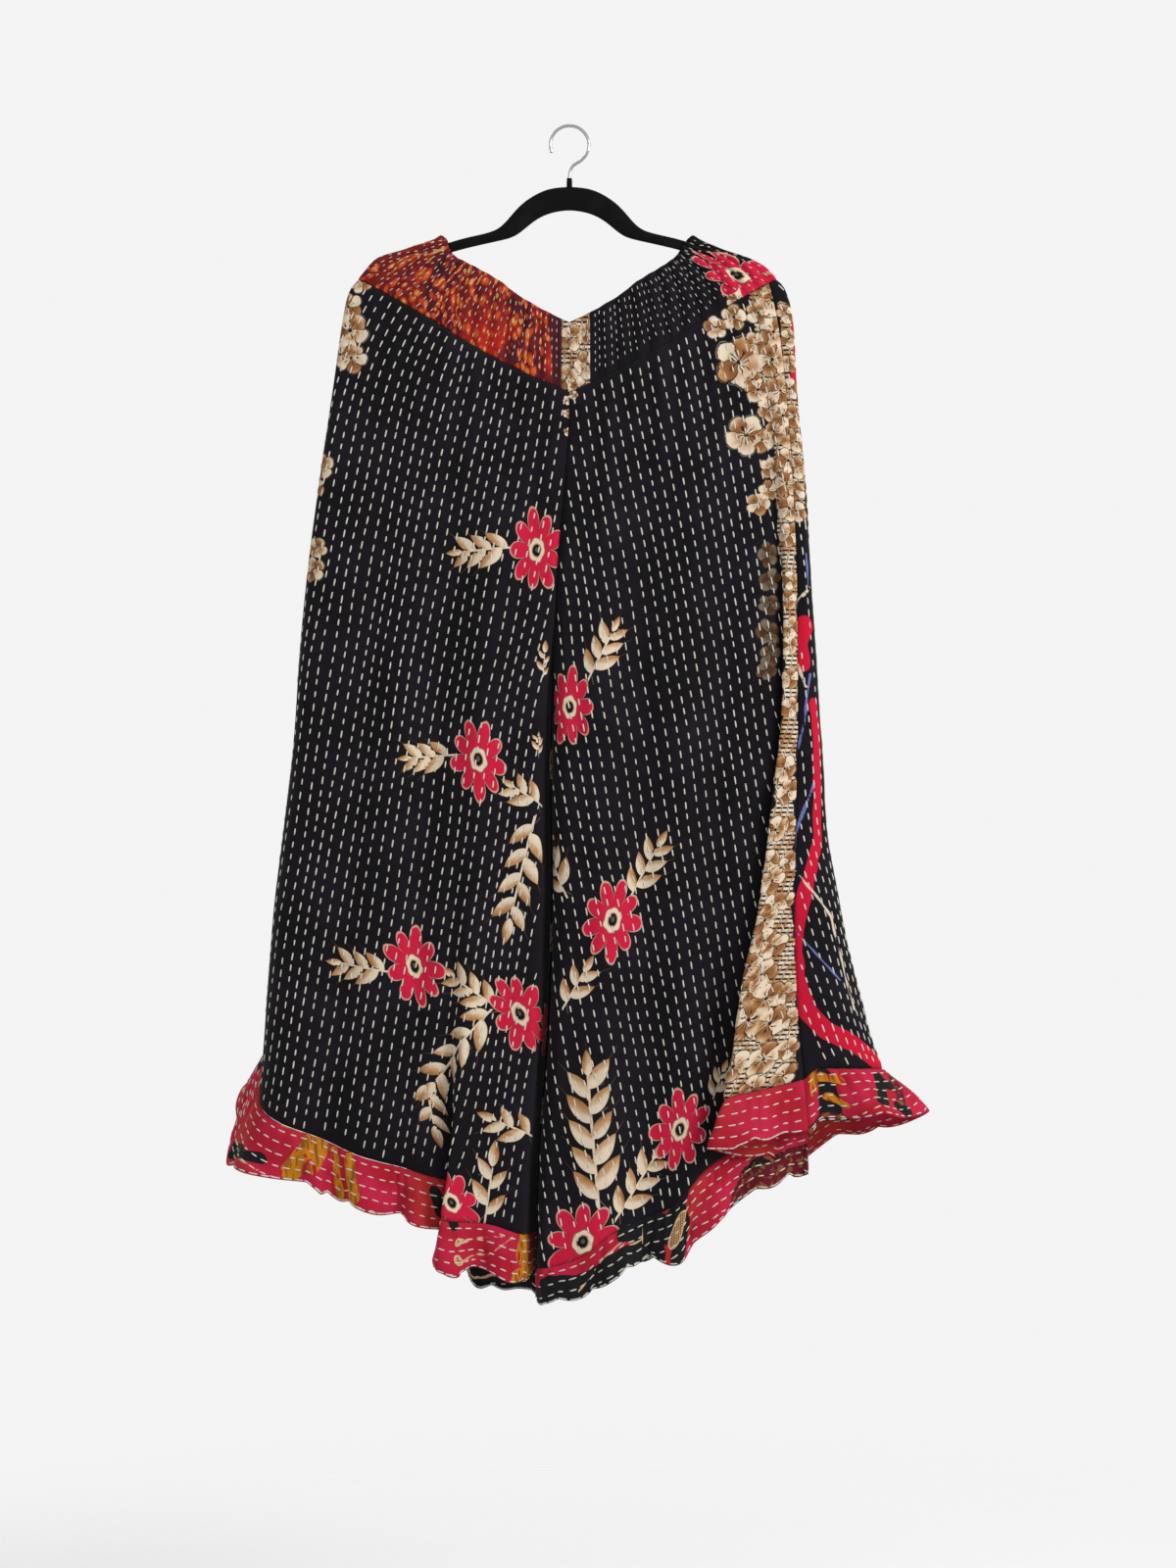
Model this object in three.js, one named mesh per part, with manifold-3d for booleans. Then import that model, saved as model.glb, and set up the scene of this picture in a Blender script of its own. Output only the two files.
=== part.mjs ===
// Ruffle capri trousers hung on a flocked hanger with a wire hook, in millimetres.
// +Z is up, the viewer of the front looks along +Y, +X is the viewer's right.
// "left" and "right" in names are the viewer's. The origin is the inner top of the hook.
// Heights are given as "drop": the distance below the origin. Across a leg, distances are
// counted outward from the middle of the garment.
import * as THREE from "three";
import Module from "manifold-3d";

const WALL = 2; // two quilted layers of cotton
const SEAM_GAP = 0.4; // between two pieces at a seam
const BAND_GAP = 0.8; // between the waistband and a leg panel
const EDGE_OFFSET = WALL / 2 + 0.3; // of a panel that stands beside its neighbour in a valley
const LEG_OFFSET = 2.6; // of each leg's cloth from the middle below the crotch
const CROTCH_DROP = 530;

const HANGER_THICK = 6;
const HANGER_BEVEL = 2.4;
const HOOK_WIRE = 1.7; // radius of the wire
const HOOK_RADIUS = 18; // inner radius of the hook's bow
const SHANK_BORE = 2.1; // radius of the hole that the hook's shank stands in
const SHANK_END = -64;

// Outline of one half of the hanger: height of its upper and lower edge.
const HANGER = [
  { out: 0, upper: -60.5, lower: -84 },
  { out: 20, upper: -62.5, lower: -87.5 },
  { out: 36, upper: -69.5, lower: -95.5 },
  { out: 46, upper: -76, lower: -104 },
  { out: 54, upper: -83.5, lower: -110.5 },
  { out: 62, upper: -93, lower: -113.5 },
  { out: 71, upper: -103.5, lower: -115.5 },
  { out: 112, upper: -114.5, lower: -125 },
  { out: 151, upper: -127, lower: -137.5 },
  { out: 181, upper: -137.5, lower: -148.5 },
  { out: 197, upper: -146, lower: -157 },
  { out: 205, upper: -155, lower: -163 },
];

// Where each leg's outer side falls: over the hanger's arm, round its tip, then down.
const SIDE = [
  { drop: 108, left: 129, right: 124 },
  { drop: 115, left: 138, right: 133 },
  { drop: 125, left: 167, right: 156 },
  { drop: 135, left: 197, right: 185 },
  { drop: 145, left: 207, right: 202 },
  { drop: 155, left: 215, right: 211 },
  { drop: 165, left: 223, right: 219 },
  { drop: 175, left: 227, right: 223 },
  { drop: 195, left: 231, right: 227 },
  { drop: 215, left: 234, right: 229 },
  { drop: 260, left: 240, right: 231 },
  { drop: 350, left: 253, right: 239 },
  { drop: 440, left: 265, right: 245 },
  { drop: 530, left: 274, right: 250 },
  { drop: 620, left: 280, right: 256 },
  { drop: 710, left: 290, right: 262 },
  { drop: 800, left: 301, right: 277 },
  { drop: 890, left: 308, right: 297 },
  { drop: 935, left: 311, right: 309 },
  { drop: 960, left: 313, right: 319 },
  { drop: 1000, left: 317, right: 330 },
  { drop: 1100, left: 322, right: 336 },
  { drop: 1220, left: 328, right: 345 },
];

// The middle of the garment and how widely each leg's front rounds into the valley there.
const MIDDLE = [
  { drop: 200, centre: 0, left: 10, right: 10, valley: 0 },
  { drop: 272, centre: 0, left: 10, right: 10, valley: 0 },
  { drop: 310, centre: -1, left: 9, right: 9, valley: 0.08 },
  { drop: 390, centre: -7, left: 7, right: 9, valley: 0.36 },
  { drop: 470, centre: -13, left: 6, right: 10, valley: 0.8 },
  { drop: 530, centre: -15, left: 5, right: 14, valley: 1 },
  { drop: 570, centre: -15.5, left: 5, right: 20, valley: 1 },
  { drop: 670, centre: -17.5, left: 9, right: 25, valley: 1 },
  { drop: 770, centre: -16.5, left: 8, right: 24, valley: 1 },
  { drop: 870, centre: -18, left: 6, right: 22, valley: 1 },
  { drop: 970, centre: -23.5, left: 5, right: 20, valley: 1 },
  { drop: 1070, centre: -30, left: 4, right: 17, valley: 1 },
  { drop: 1220, centre: -31, left: 4, right: 13, valley: 1 },
];

// How deep the cloth stands in front of and behind the hanger's plane.
const DEPTH = [
  { drop: 108, middle: 7, side: 4.5, left: 4.6, right: 4.6 },
  { drop: 157, middle: 9, side: 4.6, left: 4.6, right: 4.6 },
  { drop: 200, middle: 11, side: 5.5, left: 6, right: 5 },
  { drop: 272, middle: 16, side: 9, left: 9, right: 5.5 },
  { drop: 350, middle: 20, side: 12, left: 12, right: 6 },
  { drop: 530, middle: 29, side: 18, left: 18, right: 13 },
  { drop: 674, middle: 33, side: 21, left: 20, right: 20 },
  { drop: 776, middle: 36, side: 24, left: 22, right: 36 },
  { drop: 870, middle: 39, side: 27, left: 25, right: 50 },
  { drop: 966, middle: 42, side: 30, left: 28, right: 64 },
  { drop: 1220, middle: 46, side: 34, left: 32, right: 80 },
];

// The fold that laps over itself above each hem: its place, half its span across, how far
// it laps and how far it rises. The right leg's ends at the side seam.
const LAP = [
  { drop: 100, left: 84, leftLap: 0, leftRise: 0, right: 150, seam: 170, rightLap: 0, rightRise: 0 },
  { drop: 160, left: 92, leftLap: 0, leftRise: 0, right: 188, seam: 203, rightLap: 0, rightRise: 0 },
  { drop: 220, left: 95, leftLap: 0, leftRise: 0, right: 199, seam: 215, rightLap: 0, rightRise: 1 },
  { drop: 350, left: 98, leftLap: 0, leftRise: 0, right: 211, seam: 226, rightLap: 0, rightRise: 3 },
  { drop: 470, left: 100, leftLap: 0, leftRise: 0, right: 217, seam: 231, rightLap: 2, rightRise: 5 },
  { drop: 600, left: 102, leftLap: 0, leftRise: 0, right: 218, seam: 232, rightLap: 7, rightRise: 8 },
  { drop: 700, left: 104, leftLap: 0, leftRise: 0, right: 212, seam: 230, rightLap: 14, rightRise: 12 },
  { drop: 800, left: 106, leftLap: 0, leftRise: 1, right: 208, seam: 229, rightLap: 25, rightRise: 16 },
  { drop: 870, left: 108, leftLap: 0, leftRise: 3, right: 202, seam: 231, rightLap: 38, rightRise: 20 },
  { drop: 930, left: 110, leftLap: 1, leftRise: 5, right: 200, seam: 235, rightLap: 48, rightRise: 23 },
  { drop: 985, left: 113, leftLap: 4, leftRise: 8, right: 198, seam: 240, rightLap: 57, rightRise: 26 },
  { drop: 1060, left: 111, leftLap: 15, leftRise: 12, right: 197, seam: 242, rightLap: 60, rightRise: 27 },
  { drop: 1120, left: 109, leftLap: 24, leftRise: 14, right: 196, seam: 243, rightLap: 60, rightRise: 27 },
  { drop: 1220, left: 103, leftLap: 26, leftRise: 15, right: 196, seam: 244, rightLap: 60, rightRise: 27 },
];
const LEFT_LAP_SPAN = 8;

// Long soft folds: share of the way across at the band and at the hem, width, rise, ends.
const FOLDS = [
  { leg: "left", face: "front", band: 0.84, hem: 0.88, wide: 0.06, rise: 4, from: 260, to: 1300 },
  { leg: "left", face: "front", band: 0.7, hem: 0.75, wide: 0.05, rise: -4, from: 300, to: 1300 },
  { leg: "left", face: "front", band: 0.57, hem: 0.62, wide: 0.07, rise: 6, from: 260, to: 1300 },
  { leg: "left", face: "front", band: 0.42, hem: 0.47, wide: 0.05, rise: -5, from: 300, to: 1150 },
  { leg: "left", face: "front", band: 0.26, hem: 0.25, wide: 0.07, rise: 6, from: 280, to: 1300 },
  { leg: "right", face: "front", band: 0.2, hem: 0.17, wide: 0.07, rise: 6, from: 280, to: 1300 },
  { leg: "right", face: "front", band: 0.36, hem: 0.29, wide: 0.05, rise: -5, from: 300, to: 1300 },
  { leg: "right", face: "front", band: 0.52, hem: 0.4, wide: 0.06, rise: 5, from: 260, to: 1300 },
  { leg: "right", face: "front", band: 0.7, hem: 0.5, wide: 0.06, rise: -6, from: 300, to: 1300 },
  { leg: "left", face: "back", band: 0.75, hem: 0.8, wide: 0.07, rise: 6, from: 260, to: 1300 },
  { leg: "left", face: "back", band: 0.57, hem: 0.6, wide: 0.06, rise: -6, from: 300, to: 1300 },
  { leg: "left", face: "back", band: 0.38, hem: 0.4, wide: 0.07, rise: 7, from: 260, to: 1300 },
  { leg: "left", face: "back", band: 0.2, hem: 0.22, wide: 0.05, rise: -4, from: 300, to: 1300 },
  { leg: "right", face: "back", band: 0.22, hem: 0.2, wide: 0.07, rise: 6, from: 260, to: 1300 },
  { leg: "right", face: "back", band: 0.4, hem: 0.38, wide: 0.05, rise: -5, from: 300, to: 1300 },
  { leg: "right", face: "back", band: 0.58, hem: 0.55, wide: 0.07, rise: 7, from: 260, to: 1300 },
  { leg: "right", face: "back", band: 0.76, hem: 0.72, wide: 0.05, rise: -6, from: 300, to: 1300 },
];

// Gathers let out under the waistband: place across, rise and how far down they run.
const GATHERS = [
  { place: 0.07, rise: 2.4, length: 190 },
  { place: 0.17, rise: 3.4, length: 260 },
  { place: 0.29, rise: 2.6, length: 170 },
  { place: 0.4, rise: 3.6, length: 280 },
  { place: 0.52, rise: 2.8, length: 200 },
  { place: 0.64, rise: 3.4, length: 240 },
  { place: 0.76, rise: 2.4, length: 180 },
  { place: 0.87, rise: 2.2, length: 150 },
];
const GATHER_WIDE = 0.032;

// Shirring of the waistband: one half of the front or back.
const SHIRR_COUNT = 13.5;
const SHIRR_RISE = 1.3;
const SHIRR_STEPS = 54;

// Height of the waistband's edges along the front, middle to side.
const BAND_TOP = [
  { place: 0, drop: 201 },
  { place: 0.1, drop: 190 },
  { place: 0.17, drop: 181 },
  { place: 0.23, drop: 173 },
  { place: 0.32, drop: 159 },
  { place: 0.56, drop: 136 },
  { place: 0.8, drop: 121 },
  { place: 1, drop: 110 },
];
const BAND_SEAM = [
  { place: 0, drop: 272 },
  { place: 0.21, drop: 250 },
  { place: 0.43, drop: 222 },
  { place: 0.66, drop: 190 },
  { place: 0.9, drop: 163 },
  { place: 1, drop: 155 },
];
const PATCH_LEFT = 8;
const PATCH_RIGHT = 21;

// Stations run 0 at the inseam, 1 at the side fold, 2 at the inseam again behind.
const STATIONS = { crest: 0.12, cap: 0.88, right: { start: 0.4, lap: 0.55, seam: 0.7 } };
STATIONS.left = { start: 0.3, lap: 0.42, end: 0.54 };

// Height of the seam above the ruffle by station.
const HEM_LEFT = [
  { station: 0, drop: 1125 },
  { station: 0.12, drop: 1121 },
  { station: 0.24, drop: 1112 },
  { station: 0.36, drop: 1106 },
  { station: 0.42, drop: 1092 },
  { station: 0.47, drop: 1074 },
  { station: 0.57, drop: 1061 },
  { station: 0.71, drop: 1042 },
  { station: 0.82, drop: 1022 },
  { station: 0.88, drop: 1012 },
  { station: 0.95, drop: 999 },
  { station: 1, drop: 980 },
  { station: 1.05, drop: 940 },
  { station: 1.09, drop: 912 },
  { station: 1.15, drop: 892 },
  { station: 1.27, drop: 892 },
  { station: 1.42, drop: 960 },
  { station: 1.58, drop: 1056 },
  { station: 1.64, drop: 1108 },
  { station: 1.69, drop: 1150 },
  { station: 1.76, drop: 1152 },
  { station: 1.81, drop: 1146 },
  { station: 1.9, drop: 1158 },
  { station: 2, drop: 1158 },
];
const HEM_RIGHT = [
  { station: 0, drop: 1158 },
  { station: 0.12, drop: 1155 },
  { station: 0.18, drop: 1142 },
  { station: 0.22, drop: 1121 },
  { station: 0.26, drop: 1109 },
  { station: 0.32, drop: 1094 },
  { station: 0.37, drop: 1060 },
  { station: 0.45, drop: 1026 },
  { station: 0.5, drop: 1010 },
  { station: 0.6, drop: 984 },
  { station: 0.7, drop: 967 },
  { station: 0.85, drop: 956 },
  { station: 1, drop: 960 },
  { station: 1.12, drop: 986 },
  { station: 1.3, drop: 1026 },
  { station: 1.5, drop: 1076 },
  { station: 1.75, drop: 1136 },
  { station: 1.88, drop: 1158 },
  { station: 2, drop: 1166 },
];

// Hem ruffles: number of waves, their rise and phase, height at the inseam and beyond, and
// how far the foot leans out at the side and bulges beside its seam.
const RUFFLES = [
  {
    piece: "left_front", leg: "left", waves: 8, rise: 7.5, phase: 0.2,
    inner: 46, outer: 47, lean: 21, bulge: 0,
  },
  {
    piece: "left_back", leg: "left", waves: 7, rise: 8, phase: 1.9,
    inner: 48, outer: 47, lean: 21, bulge: 16,
  },
  {
    piece: "right_front", leg: "right", waves: 9, rise: 6.5, phase: 0.9,
    inner: 34, outer: 48, lean: 0, bulge: 0,
  },
  {
    piece: "right_back", leg: "right", waves: 9, rise: 8, phase: 2.6,
    inner: 46, outer: 47, lean: 26, bulge: 0,
  },
];
const RUFFLE_COLUMN = 7; // width of one column of its mesh
const RUFFLE_GAP = 0.7; // square to the seam, on top of the seam's own gap
const RUFFLE_FLARE = 9; // how far the foot stands out
const STEEPEST = 1.5; // a ruffle on a slanting hem hangs this much lower at most

const CLOTH = {
  black: { color: 0x17171b, roughness: 0.9 },
  orange: { color: 0x8a2a12, roughness: 0.85 },
  cream: { color: 0xbfa07a, roughness: 0.9 },
  crimson: { color: 0xa3142e, roughness: 0.85 },
};
const FLOCK = { color: 0x0c0c0d, roughness: 0.95 };
const CHROME = { color: 0xc9ccd0, roughness: 0.2, metalness: 1 };

const clamp = (x, low, high) => Math.min(high, Math.max(low, x));
const mix = (a, b, t) => a + (b - a) * t;
const ease = (low, high, x) => {
  const t = clamp((x - low) / (high - low), 0, 1);
  return t * t * (3 - 2 * t);
};

// A table's column at a place along its key column, smooth and without overshoot.
function value(table, key, column, at) {
  const last = table.length - 1;
  if (at <= table[0][key]) return table[0][column];
  if (at >= table[last][key]) return table[last][column];
  let i = 0;
  while (table[i + 1][key] < at) i += 1;
  const slope = (j) => (table[j + 1][column] - table[j][column]) / (table[j + 1][key] - table[j][key]);
  const tangent = (j) => {
    if (j === 0 || j === last) return slope(j === 0 ? 0 : last - 1);
    const [a, b] = [slope(j - 1), slope(j)];
    return a * b <= 0 ? 0 : (2 * a * b) / (a + b);
  };
  const span = table[i + 1][key] - table[i][key];
  const t = (at - table[i][key]) / span;
  const [p, q] = [table[i][column], table[i + 1][column]];
  const rest = 1 - t;
  return (
    p * (1 + 2 * t) * rest * rest +
    q * t * t * (3 - 2 * t) +
    span * (tangent(i) * t * rest * rest - tangent(i + 1) * t * t * rest)
  );
}

// The lines of a leg that its stations follow at one height.
function lines(leg, drop) {
  const sign = leg === "left" ? -1 : 1;
  const valley = value(MIDDLE, "drop", "valley", drop);
  const apart = ease(CROTCH_DROP, CROTCH_DROP + 60, drop);
  const offset = EDGE_OFFSET * ease(0, 0.12, valley) + (LEG_OFFSET - EDGE_OFFSET) * apart;
  return {
    sign,
    valley,
    inner: sign * value(MIDDLE, "drop", "centre", drop) + offset,
    side: value(SIDE, "drop", leg, drop),
    valleyRound: value(MIDDLE, "drop", leg, drop),
    sideRound: value(DEPTH, "drop", leg, drop),
    lap: value(LAP, "drop", leg, drop),
    seam: value(LAP, "drop", "seam", drop),
    centre: value(MIDDLE, "drop", "centre", drop),
  };
}

// Stations and their distances outward; the front of each leg has its lapping fold.
function marks(leg, face, line) {
  const first = [STATIONS.crest, line.inner + line.valleyRound];
  const capStart = line.side - line.sideRound;
  if (face === "back") return [first, [STATIONS.cap, capStart]];
  if (leg === "left") {
    const span = 3 * LEFT_LAP_SPAN;
    const { start, lap, end } = STATIONS.left;
    return [
      first,
      [start, line.lap - span],
      [lap, line.lap],
      [end, line.lap + span],
      [STATIONS.cap, capStart],
    ];
  }
  const { start, lap, seam } = STATIONS.right;
  return [
    first,
    [start, 2 * line.lap - line.seam],
    [lap, line.lap],
    [seam, line.seam],
    [STATIONS.cap, capStart],
  ];
}

function outward(leg, face, station, line) {
  if (station <= STATIONS.crest) {
    const turn = (station / STATIONS.crest) * (Math.PI / 2);
    return line.inner + line.valleyRound * (1 - Math.cos(turn));
  }
  if (station >= STATIONS.cap) {
    const turn = ((station - STATIONS.cap) / (1 - STATIONS.cap)) * (Math.PI / 2);
    return line.side - line.sideRound * (1 - Math.sin(turn));
  }
  const row = marks(leg, face, line);
  let i = 0;
  while (row[i + 1][0] < station) i += 1;
  return mix(row[i][1], row[i + 1][1], (station - row[i][0]) / (row[i + 1][0] - row[i][0]));
}

const quarter = (t) => Math.sqrt(Math.max(0, 1 - (1 - clamp(t, 0, 1)) ** 2));

// Rise of the long folds, the gathers and the waistband's shirring, out of the cloth.
function folds(leg, face, share, drop) {
  let rise = 0;
  const fallen = ease(250, 1120, drop);
  for (const f of FOLDS) {
    if (f.leg !== leg || f.face !== face) continue;
    const place = (share - mix(f.band, f.hem, fallen)) / f.wide;
    rise += f.rise * Math.exp(-place * place) * ease(f.from - 20, f.from + 260, drop);
  }
  const seam = value(BAND_SEAM, "place", "drop", share);
  const below = drop - seam;
  for (const g of GATHERS) {
    const place = (share - g.place) / GATHER_WIDE;
    const fade = ease(-20, 25, below) * (1 - ease(0.2 * g.length, g.length, below));
    rise += g.rise * Math.exp(-place * place) * fade;
  }
  const shirr = Math.sin(2 * Math.PI * SHIRR_COUNT * share) * (1 - ease(-14, 12, below));
  const ends = ease(0, 0.05, share) * (1 - ease(0.9, 0.97, share));
  return (rise + SHIRR_RISE * shirr) * ends;
}

const STEP = 1e-4; // for slopes

// A point of the cloth: station around the leg and drop below the hook.
function cloth(leg, station, drop) {
  const face = station > 1 ? "back" : "front";
  const near = station > 1 ? 2 - station : station;
  const line = lines(leg, drop);
  const away = face === "front" ? -1 : 1;
  let out = outward(leg, face, near, line);
  const share = (out - line.inner) / (line.side - line.inner);
  const middle = value(DEPTH, "drop", "middle", drop);
  const side = value(DEPTH, "drop", "side", drop);
  const atSide = quarter((line.side - out) / line.sideRound);
  const atMiddle = quarter((out - line.inner) / line.valleyRound);
  const full = mix(side, middle, Math.cos((share * Math.PI) / 2));
  let depth = full * atSide * (1 - line.valley + line.valley * atMiddle);
  depth += folds(leg, face, share, drop) * atSide * mix(1, atMiddle, line.valley);
  let y = away * depth;
  if (face === "front") {
    const span = leg === "left" ? LEFT_LAP_SPAN : (line.seam - line.lap) / 3;
    const t = (out - line.lap) / span;
    const bend = t * Math.exp(0.5 - (t * t) / 2);
    out -= value(LAP, "drop", leg + "Lap", drop) * bend;
    y += line.sign * -value(LAP, "drop", leg + "Rise", drop) * bend * atSide;
  }
  const x = line.sign * out;
  const far = (x - line.centre) / 70;
  const skew = 0.25 * ease(CROTCH_DROP - 50, CROTCH_DROP + 70, drop);
  return new THREE.Vector3(x + skew * y * Math.exp(-far * far), y, -drop);
}

function outwardNormal(leg, at, u, v) {
  const around = at(Math.min(u + STEP, 2), v).sub(at(Math.max(u - STEP, 0), v));
  const down = at(u, v + STEP).sub(at(u, v - STEP));
  const normal = around.cross(down).normalize();
  return leg === "left" ? normal : normal.negate();
}

// A closed wall of cloth on a grid of columns [leg, station] and rows.
function wall(name, columns, rows, surface, finish, topNormal) {
  const ordered = columns.map(([leg, u]) => rows.map((v) => surface(leg, u, v)));
  const normals = columns.map(([leg, u]) =>
    rows.map((v) => outwardNormal(leg, (a, b) => surface(leg, a, b), u, v)),
  );
  if (topNormal) columns.forEach(([, u], i) => (normals[i][0] = topNormal(u)));
  const [n, m] = [columns.length, rows.length];
  const pull = (i, j, di, dj) => {
    const step = ordered[i + di][j + dj].clone().sub(ordered[i][j]);
    if (di) step.z = 0;
    ordered[i][j].add(step.setLength(SEAM_GAP / 2));
  };
  for (let j = 0; j < m; j += 1) {
    pull(0, j, 1, 0);
    pull(n - 1, j, -1, 0);
  }
  for (let i = 0; i < n; i += 1) {
    pull(i, 0, 0, 1);
    pull(i, m - 1, 0, -1);
  }
  const position = [];
  for (const side of [0.5, -0.5])
    for (let i = 0; i < n; i += 1)
      for (let j = 0; j < m; j += 1)
        position.push(...ordered[i][j].clone().addScaledVector(normals[i][j], side * WALL));
  const id = (i, j, inside) => inside * n * m + i * m + j;
  const index = [];
  const quad = (a, b, c, d) => index.push(a, b, c, a, c, d);
  for (let i = 0; i + 1 < n; i += 1)
    for (let j = 0; j + 1 < m; j += 1) {
      quad(id(i, j, 0), id(i, j + 1, 0), id(i + 1, j + 1, 0), id(i + 1, j, 0));
      quad(id(i, j, 1), id(i + 1, j, 1), id(i + 1, j + 1, 1), id(i, j + 1, 1));
    }
  for (let j = 0; j + 1 < m; j += 1) {
    quad(id(0, j, 0), id(0, j, 1), id(0, j + 1, 1), id(0, j + 1, 0));
    quad(id(n - 1, j, 0), id(n - 1, j + 1, 0), id(n - 1, j + 1, 1), id(n - 1, j, 1));
  }
  for (let i = 0; i + 1 < n; i += 1) {
    quad(id(i, 0, 0), id(i + 1, 0, 0), id(i + 1, 0, 1), id(i, 0, 1));
    quad(id(i, m - 1, 0), id(i, m - 1, 1), id(i + 1, m - 1, 1), id(i + 1, m - 1, 0));
  }
  const geometry = new THREE.BufferGeometry();
  geometry.setAttribute("position", new THREE.Float32BufferAttribute(position, 3));
  geometry.setIndex(index);
  return solid(name, facingOut(geometry), finish);
}

// Turns every face round if the closed mesh is inside out.
function facingOut(geometry) {
  const p = geometry.attributes.position;
  const index = Array.from(geometry.index.array);
  const [a, b, c] = [new THREE.Vector3(), new THREE.Vector3(), new THREE.Vector3()];
  let volume = 0;
  for (let i = 0; i < index.length; i += 3) {
    a.fromBufferAttribute(p, index[i]);
    b.fromBufferAttribute(p, index[i + 1]);
    c.fromBufferAttribute(p, index[i + 2]);
    volume += a.dot(b.cross(c));
  }
  if (volume < 0) geometry.setIndex(index.reverse());
  return geometry;
}

function solid(name, geometry, finish) {
  const mesh = new THREE.Mesh(geometry, new THREE.MeshStandardMaterial(finish));
  mesh.name = name;
  return mesh;
}

const steps = (from, to, count) => Array.from({ length: count }, (_, i) => mix(from, to, i / count));

function stationsThrough(parts) {
  const all = parts.flatMap(([from, to, count]) => steps(from, to, count));
  all.push(parts.at(-1)[1]);
  return all;
}

// Four leg panels between the waistband and the hem.
function legSurface(leg, station, v) {
  const near = station > 1 ? 2 - station : station;
  const face = station > 1 ? "back" : "front";
  let top = 200;
  for (let i = 0; i < 30; i += 1) {
    const line = lines(leg, top);
    const share = (outward(leg, face, near, line) - line.inner) / (line.side - line.inner);
    top = mix(top, value(BAND_SEAM, "place", "drop", share), 0.7);
  }
  const hem = value(leg === "left" ? HEM_LEFT : HEM_RIGHT, "station", "drop", station);
  return cloth(leg, station, mix(top + BAND_GAP, hem, v));
}

const LEG_ROWS = stationsThrough([[0, 0.25, 5], [0.25, 1, 12]]);
const BACK_OF = [[1, 1.12, 4], [1.12, 1.88, 12], [1.88, 2, 3]];
const LEG_PANELS = [
  ["leg_left_front", "left", [[0, 0.12, 3], [0.12, 0.3, 5], [0.3, 0.54, 10], [0.54, 0.88, 8], [0.88, 1, 4]]],
  ["leg_left_back", "left", BACK_OF],
  ["leg_right_front", "right", [[0, 0.12, 3], [0.12, 0.4, 9], [0.4, 0.55, 6], [0.55, 0.7, 6]]],
  ["leg_right_back", "right", [[0.7, 0.88, 4], [0.88, 1, 4], ...BACK_OF]],
];

function legPanels() {
  return LEG_PANELS.map(([name, leg, parts]) => {
    const columns = stationsThrough(parts).map((station) => [leg, station]);
    return wall(name, columns, LEG_ROWS, legSurface, CLOTH.black);
  });
}

// Waistband: columns evenly spread across so that every shirring ridge is caught.
function bandSurface(leg, place, v) {
  const near = place > 1 ? 2 - place : place;
  const face = place > 1 ? "back" : "front";
  const top = value(BAND_TOP, "place", "drop", near);
  const seam = value(BAND_SEAM, "place", "drop", near);
  const drop = mix(top, seam, v);
  const line = lines(leg, drop);
  const capShare = 1 - line.sideRound / (line.side - line.inner);
  let station;
  if (near >= capShare) {
    const turn = clamp((near - capShare) / (1 - capShare), 0, 1);
    station = mix(STATIONS.cap, 1, turn);
  } else {
    let [low, high] = [0, STATIONS.cap];
    for (let i = 0; i < 40; i += 1) {
      const half = (low + high) / 2;
      const share = (outward(leg, face, half, line) - line.inner) / (line.side - line.inner);
      if (share < near) low = half;
      else high = half;
    }
    station = (low + high) / 2;
  }
  return cloth(leg, place > 1 ? 2 - station : station, drop);
}

const BAND_ROWS = [0, 0.33, 0.67, 1];
const OVER_ARM = [0.984, 0.988, 0.992, 0.996, 1];

function bandHalf(leg, from, count) {
  return [...steps(from, OVER_ARM[0], count), ...OVER_ARM].map((place) => [leg, place]);
}

function waistband() {
  const front = (leg, edge) => {
    const from = edge / value(SIDE, "drop", leg, 236);
    return bandHalf(leg, from, Math.round(SHIRR_STEPS * (1 - from)));
  };
  const patchEnd = PATCH_RIGHT / value(SIDE, "drop", "right", 236);
  const patch = [
    ...steps(PATCH_LEFT / value(SIDE, "drop", "left", 236), 0, 3).map((place) => ["left", place]),
    ...stationsThrough([[0, patchEnd, 6]]).map((place) => ["right", place]),
  ];
  const back = [
    ...bandHalf("left", 0, SHIRR_STEPS).map(([leg, place]) => [leg, 2 - place]).reverse(),
    ...bandHalf("right", 0, SHIRR_STEPS).map(([leg, place]) => [leg, 2 - place]).slice(1),
  ];
  return [
    wall("waistband_front_left", front("left", PATCH_LEFT), BAND_ROWS, bandSurface, CLOTH.orange),
    wall("waistband_front_patch", patch, BAND_ROWS, bandSurface, CLOTH.cream),
    wall("waistband_front_right", front("right", PATCH_RIGHT), BAND_ROWS, bandSurface, CLOTH.black),
    wall("waistband_back", back, BAND_ROWS, bandSurface, CLOTH.black),
  ];
}

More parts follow.
